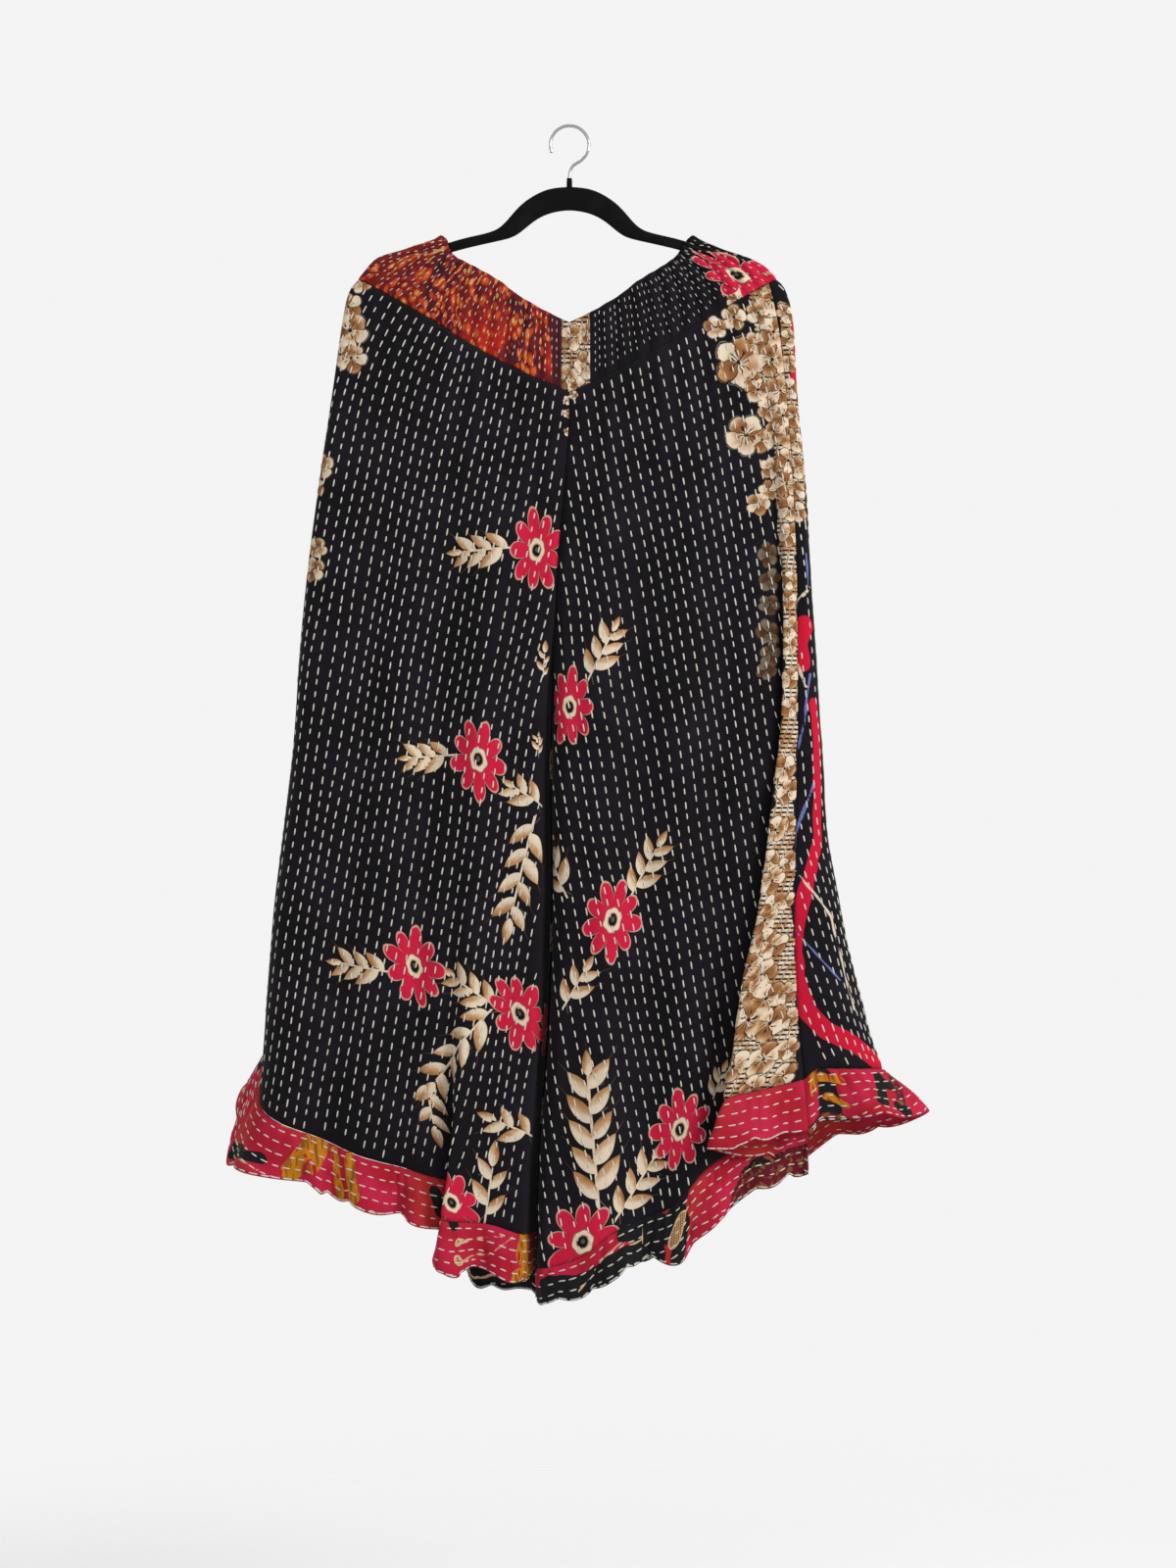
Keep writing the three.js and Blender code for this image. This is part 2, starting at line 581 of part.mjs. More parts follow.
// Hem ruffles: each hangs on from its panel and waves out more towards its foot.
function ruffle({ piece, leg, waves, rise, phase, inner, outer, lean, bulge }) {
  const hem = (station) => value(leg === "left" ? HEM_LEFT : HEM_RIGHT, "station", "drop", station);
  const edge = (station) => cloth(leg, station, hem(station));
  const corners = stationsThrough(LEG_PANELS.find((row) => row[0] === `leg_${piece}`)[2]);
  const table = [{ station: corners[0], along: 0 }];
  for (let i = 1; i < corners.length; i += 1) {
    const length = edge(corners[i - 1]).distanceTo(edge(corners[i]));
    table.push({ station: corners[i], along: table[i - 1].along + length });
  }
  const total = table.at(-1).along;
  const columns = [];
  for (let i = 0; i + 1 < table.length; i += 1) {
    const count = Math.max(1, Math.round((table[i + 1].along - table[i].along) / RUFFLE_COLUMN));
    columns.push(...steps(table[i].station, table[i + 1].station, count));
  }
  columns.push(corners.at(-1));
  const between = (of, station) => {
    let i = 0;
    while (i + 2 < corners.length && corners[i + 1] < station) i += 1;
    return of(corners[i]).lerp(of(corners[i + 1]), (station - corners[i]) / (corners[i + 1] - corners[i]));
  };
  const panelNormal = (u) => outwardNormal(leg, (a, b) => legSurface(leg, a, b), u, 1);
  const slant = (station) => {
    const run = edge(Math.min(station + 0.01, 2)).sub(edge(Math.max(station - 0.01, 0)));
    return run.length() / Math.max(Math.hypot(run.x, run.y), 0.3 * run.length());
  };
  const surface = (_, station, v) => {
    const along = value(table, "station", "along", station) / total;
    const near = station > 1 ? 2 - station : station;
    const lapAt = leg === "left" ? STATIONS.left.lap : STATIONS.right.lap;
    const inLap = station < 1 ? Math.exp(-(((station - lapAt) / 0.07) ** 2)) : 0;
    const free = ease(0.02, 0.2, near) * (1 - 0.75 * inLap);
    const wave =
      Math.sin(2 * Math.PI * waves * along + phase) +
      0.35 * Math.sin(2 * Math.PI * waves * 0.43 * along + 2 * phase);
    const foot = Math.max(v, 0) ** 1.3;
    const out = RUFFLE_FLARE * v * ease(0.05, 0.5, near) + rise * free * wave * foot;
    const normal = outwardNormal(leg, (u, w) => cloth(leg, u, hem(u) + w), station, 0.01);
    const steep = slant(station);
    const height = mix(inner, outer, ease(0.15, 0.45, near)) * mix(Math.min(steep, STEEPEST), 1, inLap);
    const hung = cloth(leg, station, hem(station) + RUFFLE_GAP * steep + height * v);
    const beside = Math.exp(-(((near - 0.93) / 0.05) ** 2));
    hung.x += (leg === "left" ? -v : v) * (lean * ease(0.8, 1, near) + bulge * beside);
    const toSeam = between(edge, station).sub(edge(station));
    return hung.addScaledVector(normal, out).addScaledVector(toSeam, 1 - v);
  };
  const grid = columns.map((station) => [leg, station]);
  const topNormal = (station) => between(panelNormal, station);
  return wall(`ruffle_${piece}`, grid, [0, 0.3, 0.65, 1], surface, CLOTH.crimson, topNormal);
}

// Hanger: an arched, round-edged bar with a bored collar for the hook.
async function hanger() {
  const wasm = await Module();
  wasm.setup();
  const upper = [...HANGER].reverse().map((r) => new THREE.Vector2(-r.out, r.upper));
  upper.push(...HANGER.slice(1).map((r) => new THREE.Vector2(r.out, r.upper)));
  const lower = [...HANGER].reverse().map((r) => new THREE.Vector2(r.out, r.lower));
  lower.push(...HANGER.slice(1).map((r) => new THREE.Vector2(-r.out, r.lower)));
  const inset = (points, by) =>
    new THREE.SplineCurve(points).getPoints(30).map((p) => new THREE.Vector2(p.x, p.y + by));
  const outline = new THREE.Shape([...inset(upper, -HANGER_BEVEL), ...inset(lower, HANGER_BEVEL)]);
  const bar = new THREE.ExtrudeGeometry(outline, {
    depth: HANGER_THICK - 2 * HANGER_BEVEL,
    bevelThickness: HANGER_BEVEL,
    bevelSize: HANGER_BEVEL,
    bevelSegments: 2,
    curveSegments: 1,
  });
  bar.translate(0, 0, -(HANGER_THICK - 2 * HANGER_BEVEL) / 2);
  bar.rotateX(Math.PI / 2);
  const profile = [[0, -70], [2.9, -70], [2.9, -58], [2.7, -52], [0, -52]];
  const collar = new THREE.LatheGeometry(profile.map(([r, z]) => new THREE.Vector2(r, z)), 20);
  collar.rotateX(Math.PI / 2);
  const bore = new THREE.CylinderGeometry(SHANK_BORE, SHANK_BORE, 20, 20);
  bore.rotateX(Math.PI / 2);
  bore.translate(0, 0, SHANK_END - 0.4 + 10);
  const joined = toManifold(wasm, bar).add(toManifold(wasm, collar)).subtract(toManifold(wasm, bore));
  return solid("hanger", fromManifold(joined), FLOCK);
}

function toManifold(wasm, geometry) {
  const flat = geometry.index ? geometry.toNonIndexed() : geometry;
  const mesh = new wasm.Mesh({
    numProp: 3,
    vertProperties: new Float32Array(flat.attributes.position.array),
    triVerts: Uint32Array.from({ length: flat.attributes.position.count }, (_, i) => i),
  });
  mesh.merge();
  return new wasm.Manifold(mesh);
}

function fromManifold(manifold) {
  const mesh = manifold.getMesh();
  const geometry = new THREE.BufferGeometry();
  geometry.setAttribute("position", new THREE.Float32BufferAttribute(mesh.vertProperties, mesh.numProp));
  geometry.setIndex(Array.from(mesh.triVerts));
  return geometry;
}

// Hook: a bow of round wire whose shank stands in the hanger's collar.
function hook() {
  const radius = HOOK_RADIUS + HOOK_WIRE;
  const bow = [];
  for (let degrees = 200; degrees >= -50; degrees -= 25) {
    const turn = (degrees * Math.PI) / 180;
    bow.push(new THREE.Vector3(radius * Math.cos(turn), 0, radius * Math.sin(turn) - HOOK_RADIUS));
  }
  bow.push(new THREE.Vector3(3, 0, -40), new THREE.Vector3(0, 0, -48), new THREE.Vector3(0, 0, SHANK_END));
  const wire = new THREE.Shape();
  wire.absarc(0, 0, HOOK_WIRE, 0, 2 * Math.PI);
  const geometry = new THREE.ExtrudeGeometry(wire, {
    steps: 34,
    curveSegments: 6,
    extrudePath: new THREE.CatmullRomCurve3(bow),
  });
  return solid("hook", geometry, CHROME);
}

const garment = new THREE.Group();
garment.name = "ruffle_capri_trousers_on_hanger";
garment.add(...waistband(), ...legPanels(), ...RUFFLES.map(ruffle), await hanger(), hook());
export default garment;
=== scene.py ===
import math

import bpy
import numpy as np
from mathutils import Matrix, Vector


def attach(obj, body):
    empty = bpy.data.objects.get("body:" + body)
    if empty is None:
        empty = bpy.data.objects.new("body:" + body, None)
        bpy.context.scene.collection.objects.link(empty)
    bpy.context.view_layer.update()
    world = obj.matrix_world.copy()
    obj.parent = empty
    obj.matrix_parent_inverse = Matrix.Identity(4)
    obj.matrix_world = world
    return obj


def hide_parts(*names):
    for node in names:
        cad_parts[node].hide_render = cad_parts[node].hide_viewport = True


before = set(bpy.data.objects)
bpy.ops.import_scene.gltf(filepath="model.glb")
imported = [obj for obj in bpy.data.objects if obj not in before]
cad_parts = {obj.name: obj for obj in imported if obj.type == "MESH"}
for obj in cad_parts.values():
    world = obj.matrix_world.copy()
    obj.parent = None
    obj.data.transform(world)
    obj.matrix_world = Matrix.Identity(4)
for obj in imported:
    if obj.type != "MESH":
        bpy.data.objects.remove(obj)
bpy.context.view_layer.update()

MM = 0.001


# The drape of the trousers. The hanger's arms carry the waistband, and each leg hangs below as
# a tube of quilted cotton whose front and back fall in long soft folds and meet in a valley.

# Sizes are millimetres: "drop" is the distance below the hook's bow, "out" the distance from
# the middle of the garment, and a station runs round a leg from the inseam (0) past the side
# fold (1) to the inseam behind (2).
def table(columns, rows):
    """A table whose columns have names."""
    return dict(zip(columns.split(), np.array(rows, float).T))


SIDE = table("drop left right", [
    (108, 129, 124), (115, 138, 133), (125, 167, 156), (135, 197, 185), (145, 207, 202),
    (155, 215, 211), (165, 223, 219), (175, 227, 223), (195, 231, 227), (215, 234, 229),
    (260, 240, 231), (350, 253, 239), (440, 265, 245), (530, 274, 250), (620, 280, 256),
    (710, 290, 262), (800, 301, 277), (890, 308, 297), (935, 311, 309), (960, 313, 319),
    (1000, 317, 330), (1100, 322, 336), (1220, 328, 345),
])
MIDDLE = table("drop centre left right valley", [
    (200, 0, 10, 10, 0), (272, 0, 10, 10, 0), (310, -1, 9, 9, 0.08), (390, -7, 7, 9, 0.36),
    (470, -13, 6, 10, 0.8), (530, -15, 5, 14, 1), (570, -15.5, 5, 20, 1),
    (670, -17.5, 9, 25, 1), (770, -16.5, 8, 24, 1), (870, -18, 6, 22, 1),
    (970, -23.5, 5, 20, 1), (1070, -30, 4, 17, 1), (1220, -31, 4, 13, 1),
])
DEPTH = table("drop middle side left right", [
    (108, 7, 4.5, 4.6, 4.6), (157, 9, 4.6, 4.6, 4.6), (200, 11, 5.5, 6, 5),
    (272, 16, 9, 9, 5.5), (350, 20, 12, 12, 6), (530, 29, 18, 18, 13),
    (674, 33, 21, 20, 20), (776, 36, 24, 22, 36), (870, 39, 27, 25, 50),
    (966, 42, 30, 28, 64), (1220, 46, 34, 32, 80),
])
LAP = table("drop left left_lap left_rise right seam right_lap right_rise", [
    (100, 84, 0, 0, 150, 170, 0, 0), (160, 92, 0, 0, 188, 203, 0, 0),
    (220, 95, 0, 0, 199, 215, 0, 1), (350, 98, 0, 0, 211, 226, 0, 3),
    (470, 100, 0, 0, 217, 231, 2, 5), (600, 102, 0, 0, 218, 232, 7, 8),
    (700, 104, 0, 0, 212, 230, 14, 12), (800, 106, 0, 1, 208, 229, 25, 16),
    (870, 108, 0, 3, 202, 231, 38, 20), (930, 110, 1, 5, 200, 235, 48, 23),
    (985, 113, 4, 8, 198, 240, 57, 26), (1060, 111, 15, 12, 197, 242, 60, 27),
    (1120, 109, 24, 14, 196, 243, 60, 27), (1220, 103, 26, 15, 196, 244, 60, 27),
])
LEFT_LAP_SPAN = 8
# leg, face, share across at the band and at the hem, width, rise, from
FOLDS = [
    ("left", "front", 0.84, 0.88, 0.06, 4, 260), ("left", "front", 0.7, 0.75, 0.05, -4, 300),
    ("left", "front", 0.57, 0.62, 0.07, 6, 260), ("left", "front", 0.42, 0.47, 0.05, -5, 300),
    ("left", "front", 0.26, 0.25, 0.07, 6, 280), ("right", "front", 0.2, 0.17, 0.07, 6, 280),
    ("right", "front", 0.36, 0.29, 0.05, -5, 300), ("right", "front", 0.52, 0.4, 0.06, 5, 260),
    ("right", "front", 0.7, 0.5, 0.06, -6, 300), ("left", "back", 0.75, 0.8, 0.07, 6, 260),
    ("left", "back", 0.57, 0.6, 0.06, -6, 300), ("left", "back", 0.38, 0.4, 0.07, 7, 260),
    ("left", "back", 0.2, 0.22, 0.05, -4, 300), ("right", "back", 0.22, 0.2, 0.07, 6, 260),
    ("right", "back", 0.4, 0.38, 0.05, -5, 300), ("right", "back", 0.58, 0.55, 0.07, 7, 260),
    ("right", "back", 0.76, 0.72, 0.05, -6, 300),
]
# place, rise and length of the gathers let out under the waistband
GATHERS = [
    (0.07, 2.4, 190), (0.17, 3.4, 260), (0.29, 2.6, 170), (0.4, 3.6, 280),
    (0.52, 2.8, 200), (0.64, 3.4, 240), (0.76, 2.4, 180), (0.87, 2.2, 150),
]
GATHER_WIDE = 0.032
SHIRR_COUNT = 13.5
SHIRR_RISE = 1.3
BAND_SEAM = table("place drop", [
    (0, 272), (0.21, 250), (0.43, 222), (0.66, 190), (0.9, 163), (1, 155),
])
HEM = {
    "left": table("station drop", [
        (0, 1125), (0.12, 1121), (0.24, 1112), (0.36, 1106), (0.42, 1092), (0.47, 1074),
        (0.57, 1061), (0.71, 1042), (0.82, 1022), (0.88, 1012), (0.95, 999), (1, 980),
        (1.05, 940), (1.09, 912), (1.15, 892), (1.27, 892), (1.42, 960), (1.58, 1056),
        (1.64, 1108), (1.69, 1150), (1.76, 1152), (1.81, 1146), (1.9, 1158), (2, 1158),
    ]),
    "right": table("station drop", [
        (0, 1158), (0.12, 1155), (0.18, 1142), (0.22, 1121), (0.26, 1109), (0.32, 1094),
        (0.37, 1060), (0.45, 1026), (0.5, 1010), (0.6, 984), (0.7, 967), (0.85, 956),
        (1, 960), (1.12, 986), (1.3, 1026), (1.5, 1076), (1.75, 1136), (1.88, 1158),
        (2, 1166),
    ]),
}
CREST, CAP = 0.12, 0.88  # stations where the valley's rounding ends and the side's begins
LEFT_LAP = (0.3, 0.42, 0.54)
RIGHT_LAP = (0.4, 0.55, 0.7)
CROTCH_DROP = 530
LEG_OFFSET, EDGE_OFFSET = 2.4, -0.3  # of a panel's inner edge, below the crotch and in the valley
BAND_GAP = 0.8
TWIST, TWIST_WIDE = 0.25, 70  # how the inner sides turn towards the left below the crotch


def mix(a, b, t):
    return a + (b - a) * t


def ease(low, high, x):
    t = np.clip((x - low) / (high - low), 0, 1)
    return t * t * (3 - 2 * t)


def ridge(x):
    """A soft ridge: 1 at 0, almost gone at 2 on either side."""
    return np.exp(-x * x)


def from_inseam(station):
    """Stations counted from the inseam, in front and behind alike."""
    return np.where(station > 1, 2 - station, station)


def value(rows, key, column, at):
    """A table's column at places along its key column, smooth and without overshoot."""
    k, c = rows[key], rows[column]
    at = np.clip(at, k[0], k[-1])
    slope = np.diff(c) / np.diff(k)
    level = slope[:-1] * slope[1:]
    both = np.where(level > 0, slope[:-1] + slope[1:], 1)
    tangent = np.concatenate([slope[:1], np.where(level > 0, 2 * level / both, 0), slope[-1:]])
    i = np.clip(np.searchsorted(k, at) - 1, 0, len(k) - 2)
    span = k[i + 1] - k[i]
    t = (at - k[i]) / span
    rest = 1 - t
    smooth = c[i] * (1 + 2 * t) * rest**2 + c[i + 1] * t * t * (3 - 2 * t)
    return smooth + span * (tangent[i] * t * rest**2 - tangent[i + 1] * t * t * rest)


def lines(leg, drop):
    """The lines of a leg that its stations follow, at each height."""
    sign = -1 if leg == "left" else 1
    valley = value(MIDDLE, "drop", "valley", drop)
    centre = value(MIDDLE, "drop", "centre", drop)
    apart = ease(CROTCH_DROP, CROTCH_DROP + 60, drop)
    offset = EDGE_OFFSET * ease(0, 0.12, valley) + (LEG_OFFSET - EDGE_OFFSET) * apart
    return {
        "sign": sign, "valley": valley, "centre": centre, "inner": sign * centre + offset,
        "side": value(SIDE, "drop", leg, drop),
        "valley_round": value(MIDDLE, "drop", leg, drop),
        "side_round": value(DEPTH, "drop", leg, drop),
        "lap": value(LAP, "drop", leg, drop), "seam": value(LAP, "drop", "seam", drop),
    }


def outward(leg, face, near, line):
    """Distances outward at stations counted from the inseam, on the front or the back."""
    turn = np.clip(near / CREST, 0, 1) * math.pi / 2
    out = line["inner"] + line["valley_round"] * (1 - np.cos(turn))
    cap = line["side"] - line["side_round"]
    stops = [(CREST, line["inner"] + line["valley_round"])]
    if face == "front" and leg == "left":
        span = 3 * LEFT_LAP_SPAN
        stops += zip(LEFT_LAP, (line["lap"] - span, line["lap"], line["lap"] + span))
    elif face == "front":
        stops += zip(RIGHT_LAP, (2 * line["lap"] - line["seam"], line["lap"], line["seam"]))
    stops.append((CAP, cap))
    for (s0, o0), (s1, o1) in zip(stops, stops[1:]):
        out = np.where(near > s0, mix(o0, o1, (near - s0) / (s1 - s0)), out)
    turn = np.clip((near - CAP) / (1 - CAP), 0, 1) * math.pi / 2
    return np.where(near >= CAP, line["side"] - line["side_round"] * (1 - np.sin(turn)), out)


def on_either_face(leg, behind, near, line):
    """Distances outward: on the back where behind is true, on the front elsewhere."""
    return np.where(behind, outward(leg, "back", near, line), outward(leg, "front", near, line))


def share_across(out, line):
    """How far across a leg a distance outward lies, from its inner line (0) to its side (1)."""
    return (out - line["inner"]) / (line["side"] - line["inner"])


def quarter(t):
    return np.sqrt(np.maximum(0, 1 - (1 - np.clip(t, 0, 1)) ** 2))


def folds(leg, face, share, drop):
    """How far the long folds, the gathers and the shirring rise out of the cloth."""
    fallen = ease(250, 1120, drop)
    rise = 0
    for its_leg, its_face, band, hem, wide, high, start in FOLDS:
        if (its_leg, its_face) == (leg, face):
            place = (share - mix(band, hem, fallen)) / wide
            rise = rise + high * ridge(place) * ease(start - 20, start + 260, drop)
    below = drop - value(BAND_SEAM, "place", "drop", share)
    for at, high, length in GATHERS:
        fade = ease(-20, 25, below) * (1 - ease(0.2 * length, length, below))
        rise = rise + high * ridge((share - at) / GATHER_WIDE) * fade
    shirr = np.sin(2 * math.pi * SHIRR_COUNT * share) * (1 - ease(-14, 12, below))
    ends = ease(0, 0.05, share) * (1 - ease(0.9, 0.97, share))
    return (rise + SHIRR_RISE * shirr) * ends


def cloth_face(leg, face, near, drop):
    line = lines(leg, drop)
    out = outward(leg, face, near, line)
    share = share_across(out, line)
    at_side = quarter((line["side"] - out) / line["side_round"])
    at_middle = quarter((out - line["inner"]) / line["valley_round"])
    side, middle = value(DEPTH, "drop", "side", drop), value(DEPTH, "drop", "middle", drop)
    full = mix(side, middle, np.cos(share * math.pi / 2))
    depth = full * at_side * (1 - line["valley"] + line["valley"] * at_middle)
    depth = depth + folds(leg, face, share, drop) * at_side * mix(1, at_middle, line["valley"])
    y = depth * (-1 if face == "front" else 1)
    if face == "front":
        span = LEFT_LAP_SPAN if leg == "left" else (line["seam"] - line["lap"]) / 3
        t = (out - line["lap"]) / span
        bend = t * np.exp(0.5 - t * t / 2)
        out = out - value(LAP, "drop", leg + "_lap", drop) * bend
        y = y - line["sign"] * value(LAP, "drop", leg + "_rise", drop) * bend * at_side
    x = line["sign"] * out
    skew = TWIST * ease(CROTCH_DROP - 50, CROTCH_DROP + 70, drop)
    across = x + skew * y * ridge((x - line["centre"]) / TWIST_WIDE)
    return np.stack([across, y, -drop], -1)


def cloth(leg, station, drop):
    """Points of the cloth at stations round a leg and drops below the hook."""
    station, drop = np.broadcast_arrays(np.asarray(station, float), np.asarray(drop, float))
    near = from_inseam(station)
    front = cloth_face(leg, "front", near, drop)
    return np.where((station > 1)[..., None], cloth_face(leg, "back", near, drop), front)


def band_seam_drop(leg, station):
    """Height of the seam under the waistband at each station, closed in on step by step."""
    near = from_inseam(station)
    top = np.full(station.shape, 200.0)
    for _ in range(30):
        line = lines(leg, top)
        share = share_across(on_either_face(leg, station > 1, near, line), line)
        top = mix(top, value(BAND_SEAM, "place", "drop", share), 0.7)
    return top


LATTICE = np.random.default_rng(11).random((64, 64)) * 2 - 1


def unevenness(x, y):
    """Smooth random values from -1 to 1 on a plane, one lump per unit."""
    i, j = np.floor(x).astype(int), np.floor(y).astype(int)
    u, w = ease(0, 1, x - i), ease(0, 1, y - j)
    corner = lambda a, b: LATTICE[(i + a) % 64, (j + b) % 64]
    return mix(mix(corner(0, 0), corner(1, 0), u), mix(corner(0, 1), corner(1, 1), u), w)


def lengths(at, axis=0):
    """Distances along rows of points, from the first point on."""
    step = np.linalg.norm(np.diff(at, axis=axis), axis=-1)
    return np.concatenate([np.zeros_like(np.take(step, [0], axis)), np.cumsum(step, axis)], axis)


def between(rows, i, j):
    """Values of a grid between its points."""
    n, m = rows.shape[:2]
    i, j = np.clip(i, 0, n - 1.001), np.clip(j, 0, m - 1.001)
    a, b = i.astype(int), j.astype(int)
    u, w = i - a, j - b
    if rows.ndim == 3:
        u, w = u[..., None], w[..., None]
    return mix(mix(rows[a, b], rows[a + 1, b], u), mix(rows[a, b + 1], rows[a + 1, b + 1], u), w)


# Lengths round each leg at each height, counted outward from the inseam in front and again
# from the inseam behind: the print and the stitches are laid out on these.
LAYOUT_STEP, LAYOUT_COLUMNS = 10.0, 400
DROPS = np.arange(100, 1260, LAYOUT_STEP)
ROUND = np.linspace(0, 2, 2 * LAYOUT_COLUMNS + 1)


def laid_out(leg):
    at = cloth(leg, ROUND[None, :], DROPS[:, None])
    along = lengths(at, 1)
    start = np.argmin(abs(ROUND - 0.3))
    front = along - along[:, start : start + 1] + abs(at[:, start, 0])[:, None]
    return {"front": front, "back": along[:, -1:] - along}


LAID_OUT = {leg: laid_out(leg) for leg in ("left", "right")}


def length_out(leg, face, station, drop):
    rows = LAID_OUT[leg][face]
    return between(rows, (drop - DROPS[0]) / LAYOUT_STEP, station * LAYOUT_COLUMNS)


def flat_out(leg, face, station, drop):
    """Distance outward with the laps pulled flat, on round the side fold."""
    near = from_inseam(station)
    line = lines(leg, drop)
    turn = np.clip((near - CAP) / (1 - CAP), 0, 1) * math.pi / 2
    return outward(leg, face, np.minimum(near, CAP), line) + line["side_round"] * turn


# Leg panels: two layers of thin printed cotton quilted together by hand with running
# stitches, cut to flare from hip to hem. Each is joined to its neighbours by a plain seam,
# pressed open, and gathered a little into the waistband.
PLY_OUT, PLY_IN = 0.9, 0.7  # outer and inner face, either side of the cloth's middle
SEAM_SINK, SEAM_WIDE = 1.0, 3.2
ROW_SPACING, ROW_SLANT = 10.4, 0.17
MID_LEG_DROP = 760.0  # where a panel's columns are evenly spaced
PANELS = [
    # name, leg, face, first and last station, columns, rows
    ("leg_left_front", "left", "front", 0, 1, 132, 190),
    ("leg_left_back", "left", "back", 1, 2, 126, 190),
    ("leg_right_front", "right", "front", 0, 0.7, 150, 190),
    ("leg_right_back", "right", "back", 0.7, 2, 150, 190),
]


def unit(v):
    return v / np.maximum(np.linalg.norm(v, axis=-1, keepdims=True), 1e-9)


def normals_of(at, leg):
    """Outward normals of a grid of points, column by column."""
    normal = unit(np.cross(np.gradient(at, axis=0), np.gradient(at, axis=1)))
    return normal if leg == "left" else -normal


def edge_distance(at):
    """How far each point of a grid is from its nearest edge, along the cloth."""
    across, down = lengths(at, 0), lengths(at, 1)
    sides = np.minimum(across, across[-1:] - across)
    return np.minimum(sides, np.minimum(down, down[:, -1:] - down))


def spaced(leg, dense, drop, columns):
    """Stations at even distances round a leg, measured at the given drops."""
    along = lengths(cloth(leg, dense, drop))
    return np.interp(np.linspace(0, along[-1], columns), along, dense)


def raised(at, rise, leg, place, drop, row):
    """A grid of cloth that stands out from its points, with its place, drop and stitch row."""
    at = at + normals_of(at, leg) * rise[..., None]
    return {"at": at, "normal": normals_of(at, leg), "place": place, "drop": drop, "row": row}


def leg_panel(name, leg, face, first, last, columns, rows):
    station = spaced(leg, np.linspace(first, last, 2000), MID_LEG_DROP, columns)
    top = band_seam_drop(leg, station) + BAND_GAP
    hem = value(HEM[leg], "station", "drop", station)
    drop = mix(top[:, None], hem[:, None], np.linspace(0, 1, rows)[None, :])
    round_leg = np.broadcast_to(station[:, None], drop.shape)
    at = cloth(leg, round_leg, drop)
    place = length_out(leg, face, round_leg, drop)
    if name == "leg_right_back":  # its rows run along the side fold
        side = 1 + 0 * drop
        on_front = flat_out(leg, "front", round_leg, drop) - flat_out(leg, "front", side, drop)
        on_back = flat_out(leg, "back", side, drop) - flat_out(leg, "back", round_leg, drop)
        spread = np.where(round_leg > 1, on_back, on_front)
    else:
        spread = flat_out(leg, face, round_leg, drop) - ROW_SLANT * (drop - 300)
    below = drop - top[:, None]  # the rows start square to the slanting waistband
    spread = spread + 30 * np.exp(-below / 75) * ease(0.1, 0.8, from_inseam(round_leg))
    row = spread / ROW_SPACING + 0.4 * unevenness(spread / 70 + 3, drop / 260)
    row = row + 0.2 * unevenness(spread / 24, drop / 90 + 7)
    gap = edge_distance(at)
    crease = 1.5 * unevenness(place / 34 - 0.003 * drop, drop / 150)
    crease += 0.8 * unevenness(place / 13 + 9 - 0.004 * drop, drop / 60 + 5)
    pucker = 0.28 * unevenness(row + 40, drop / 7 + 3)
    rise = (crease + pucker) * ease(0, 40, gap) - SEAM_SINK * ridge(gap / SEAM_WIDE)
    return raised(at, rise, leg, place, drop, row)


def meshed(name, points, faces):
    """A smooth piece from points in millimetres."""
    mesh = bpy.data.meshes.new(name)
    mesh.from_pydata(points * MM, [], faces)
    mesh.polygons.foreach_set("use_smooth", np.ones(len(mesh.polygons), bool))
    obj = bpy.data.objects.new(name, mesh)
    bpy.context.scene.collection.objects.link(obj)
    return obj


def shell(name, grid):
    """A thin wall of cloth on a grid, closed all round by a narrow rim."""
    at, normal = grid["at"], grid["normal"]
    n, m = at.shape[:2]
    faces_of_cloth = (at + normal * PLY_OUT, at - normal * PLY_IN)
    points = np.concatenate([face.reshape(-1, 3) for face in faces_of_cloth])
    i, j = np.meshgrid(np.arange(n - 1), np.arange(m - 1), indexing="ij")
    a = (i * m + j).ravel()
    quads = np.stack([a, a + 1, a + m + 1, a + m], 1)
    back = quads[:, ::-1] + n * m
    loop = np.concatenate([
        np.arange(m), np.arange(2 * m - 1, n * m, m), np.arange(n * m - 2, n * m - m - 1, -1),
        np.arange(n * m - 2 * m, 0, -m),
    ])
    after = np.roll(loop, -1)
    rim = np.stack([after, loop, loop + n * m, after + n * m], 1)
    walls = np.concatenate([quads, back])
    faces = np.concatenate([walls, rim])
    a, b, c = (points[walls[:, k]] for k in range(3))
    if (a * np.cross(b, c)).sum() < 0:  # its inside is out
        faces = faces[:, ::-1]
    return meshed(name, points, faces.tolist())


def on_points(obj, name, *parts):
    """Stores one number or three at every point, for the material to read."""
    flat = [np.tile(p.ravel(), 2) for p in parts]
    kind = "FLOAT" if len(parts) == 1 else "FLOAT_VECTOR"
    layer = obj.data.attributes.new(name, kind, "POINT")
    layer.data.foreach_set("value" if kind == "FLOAT" else "vector", np.stack(flat, 1).ravel())


def cut_cloth(name, grid):
    """The cloth of a piece, which tells its material where each of its points lies."""
    obj = shell(name + "_cloth", grid)
    on_points(obj, "cloth_place", grid["place"] * MM, grid["drop"] * MM, grid["row"])
    return obj


# The front view that the print is placed by: the eye, and the view's middle in millimetres.
EYE = (19, -2600, -670)
VIEW_MIDDLE = (600, 800)


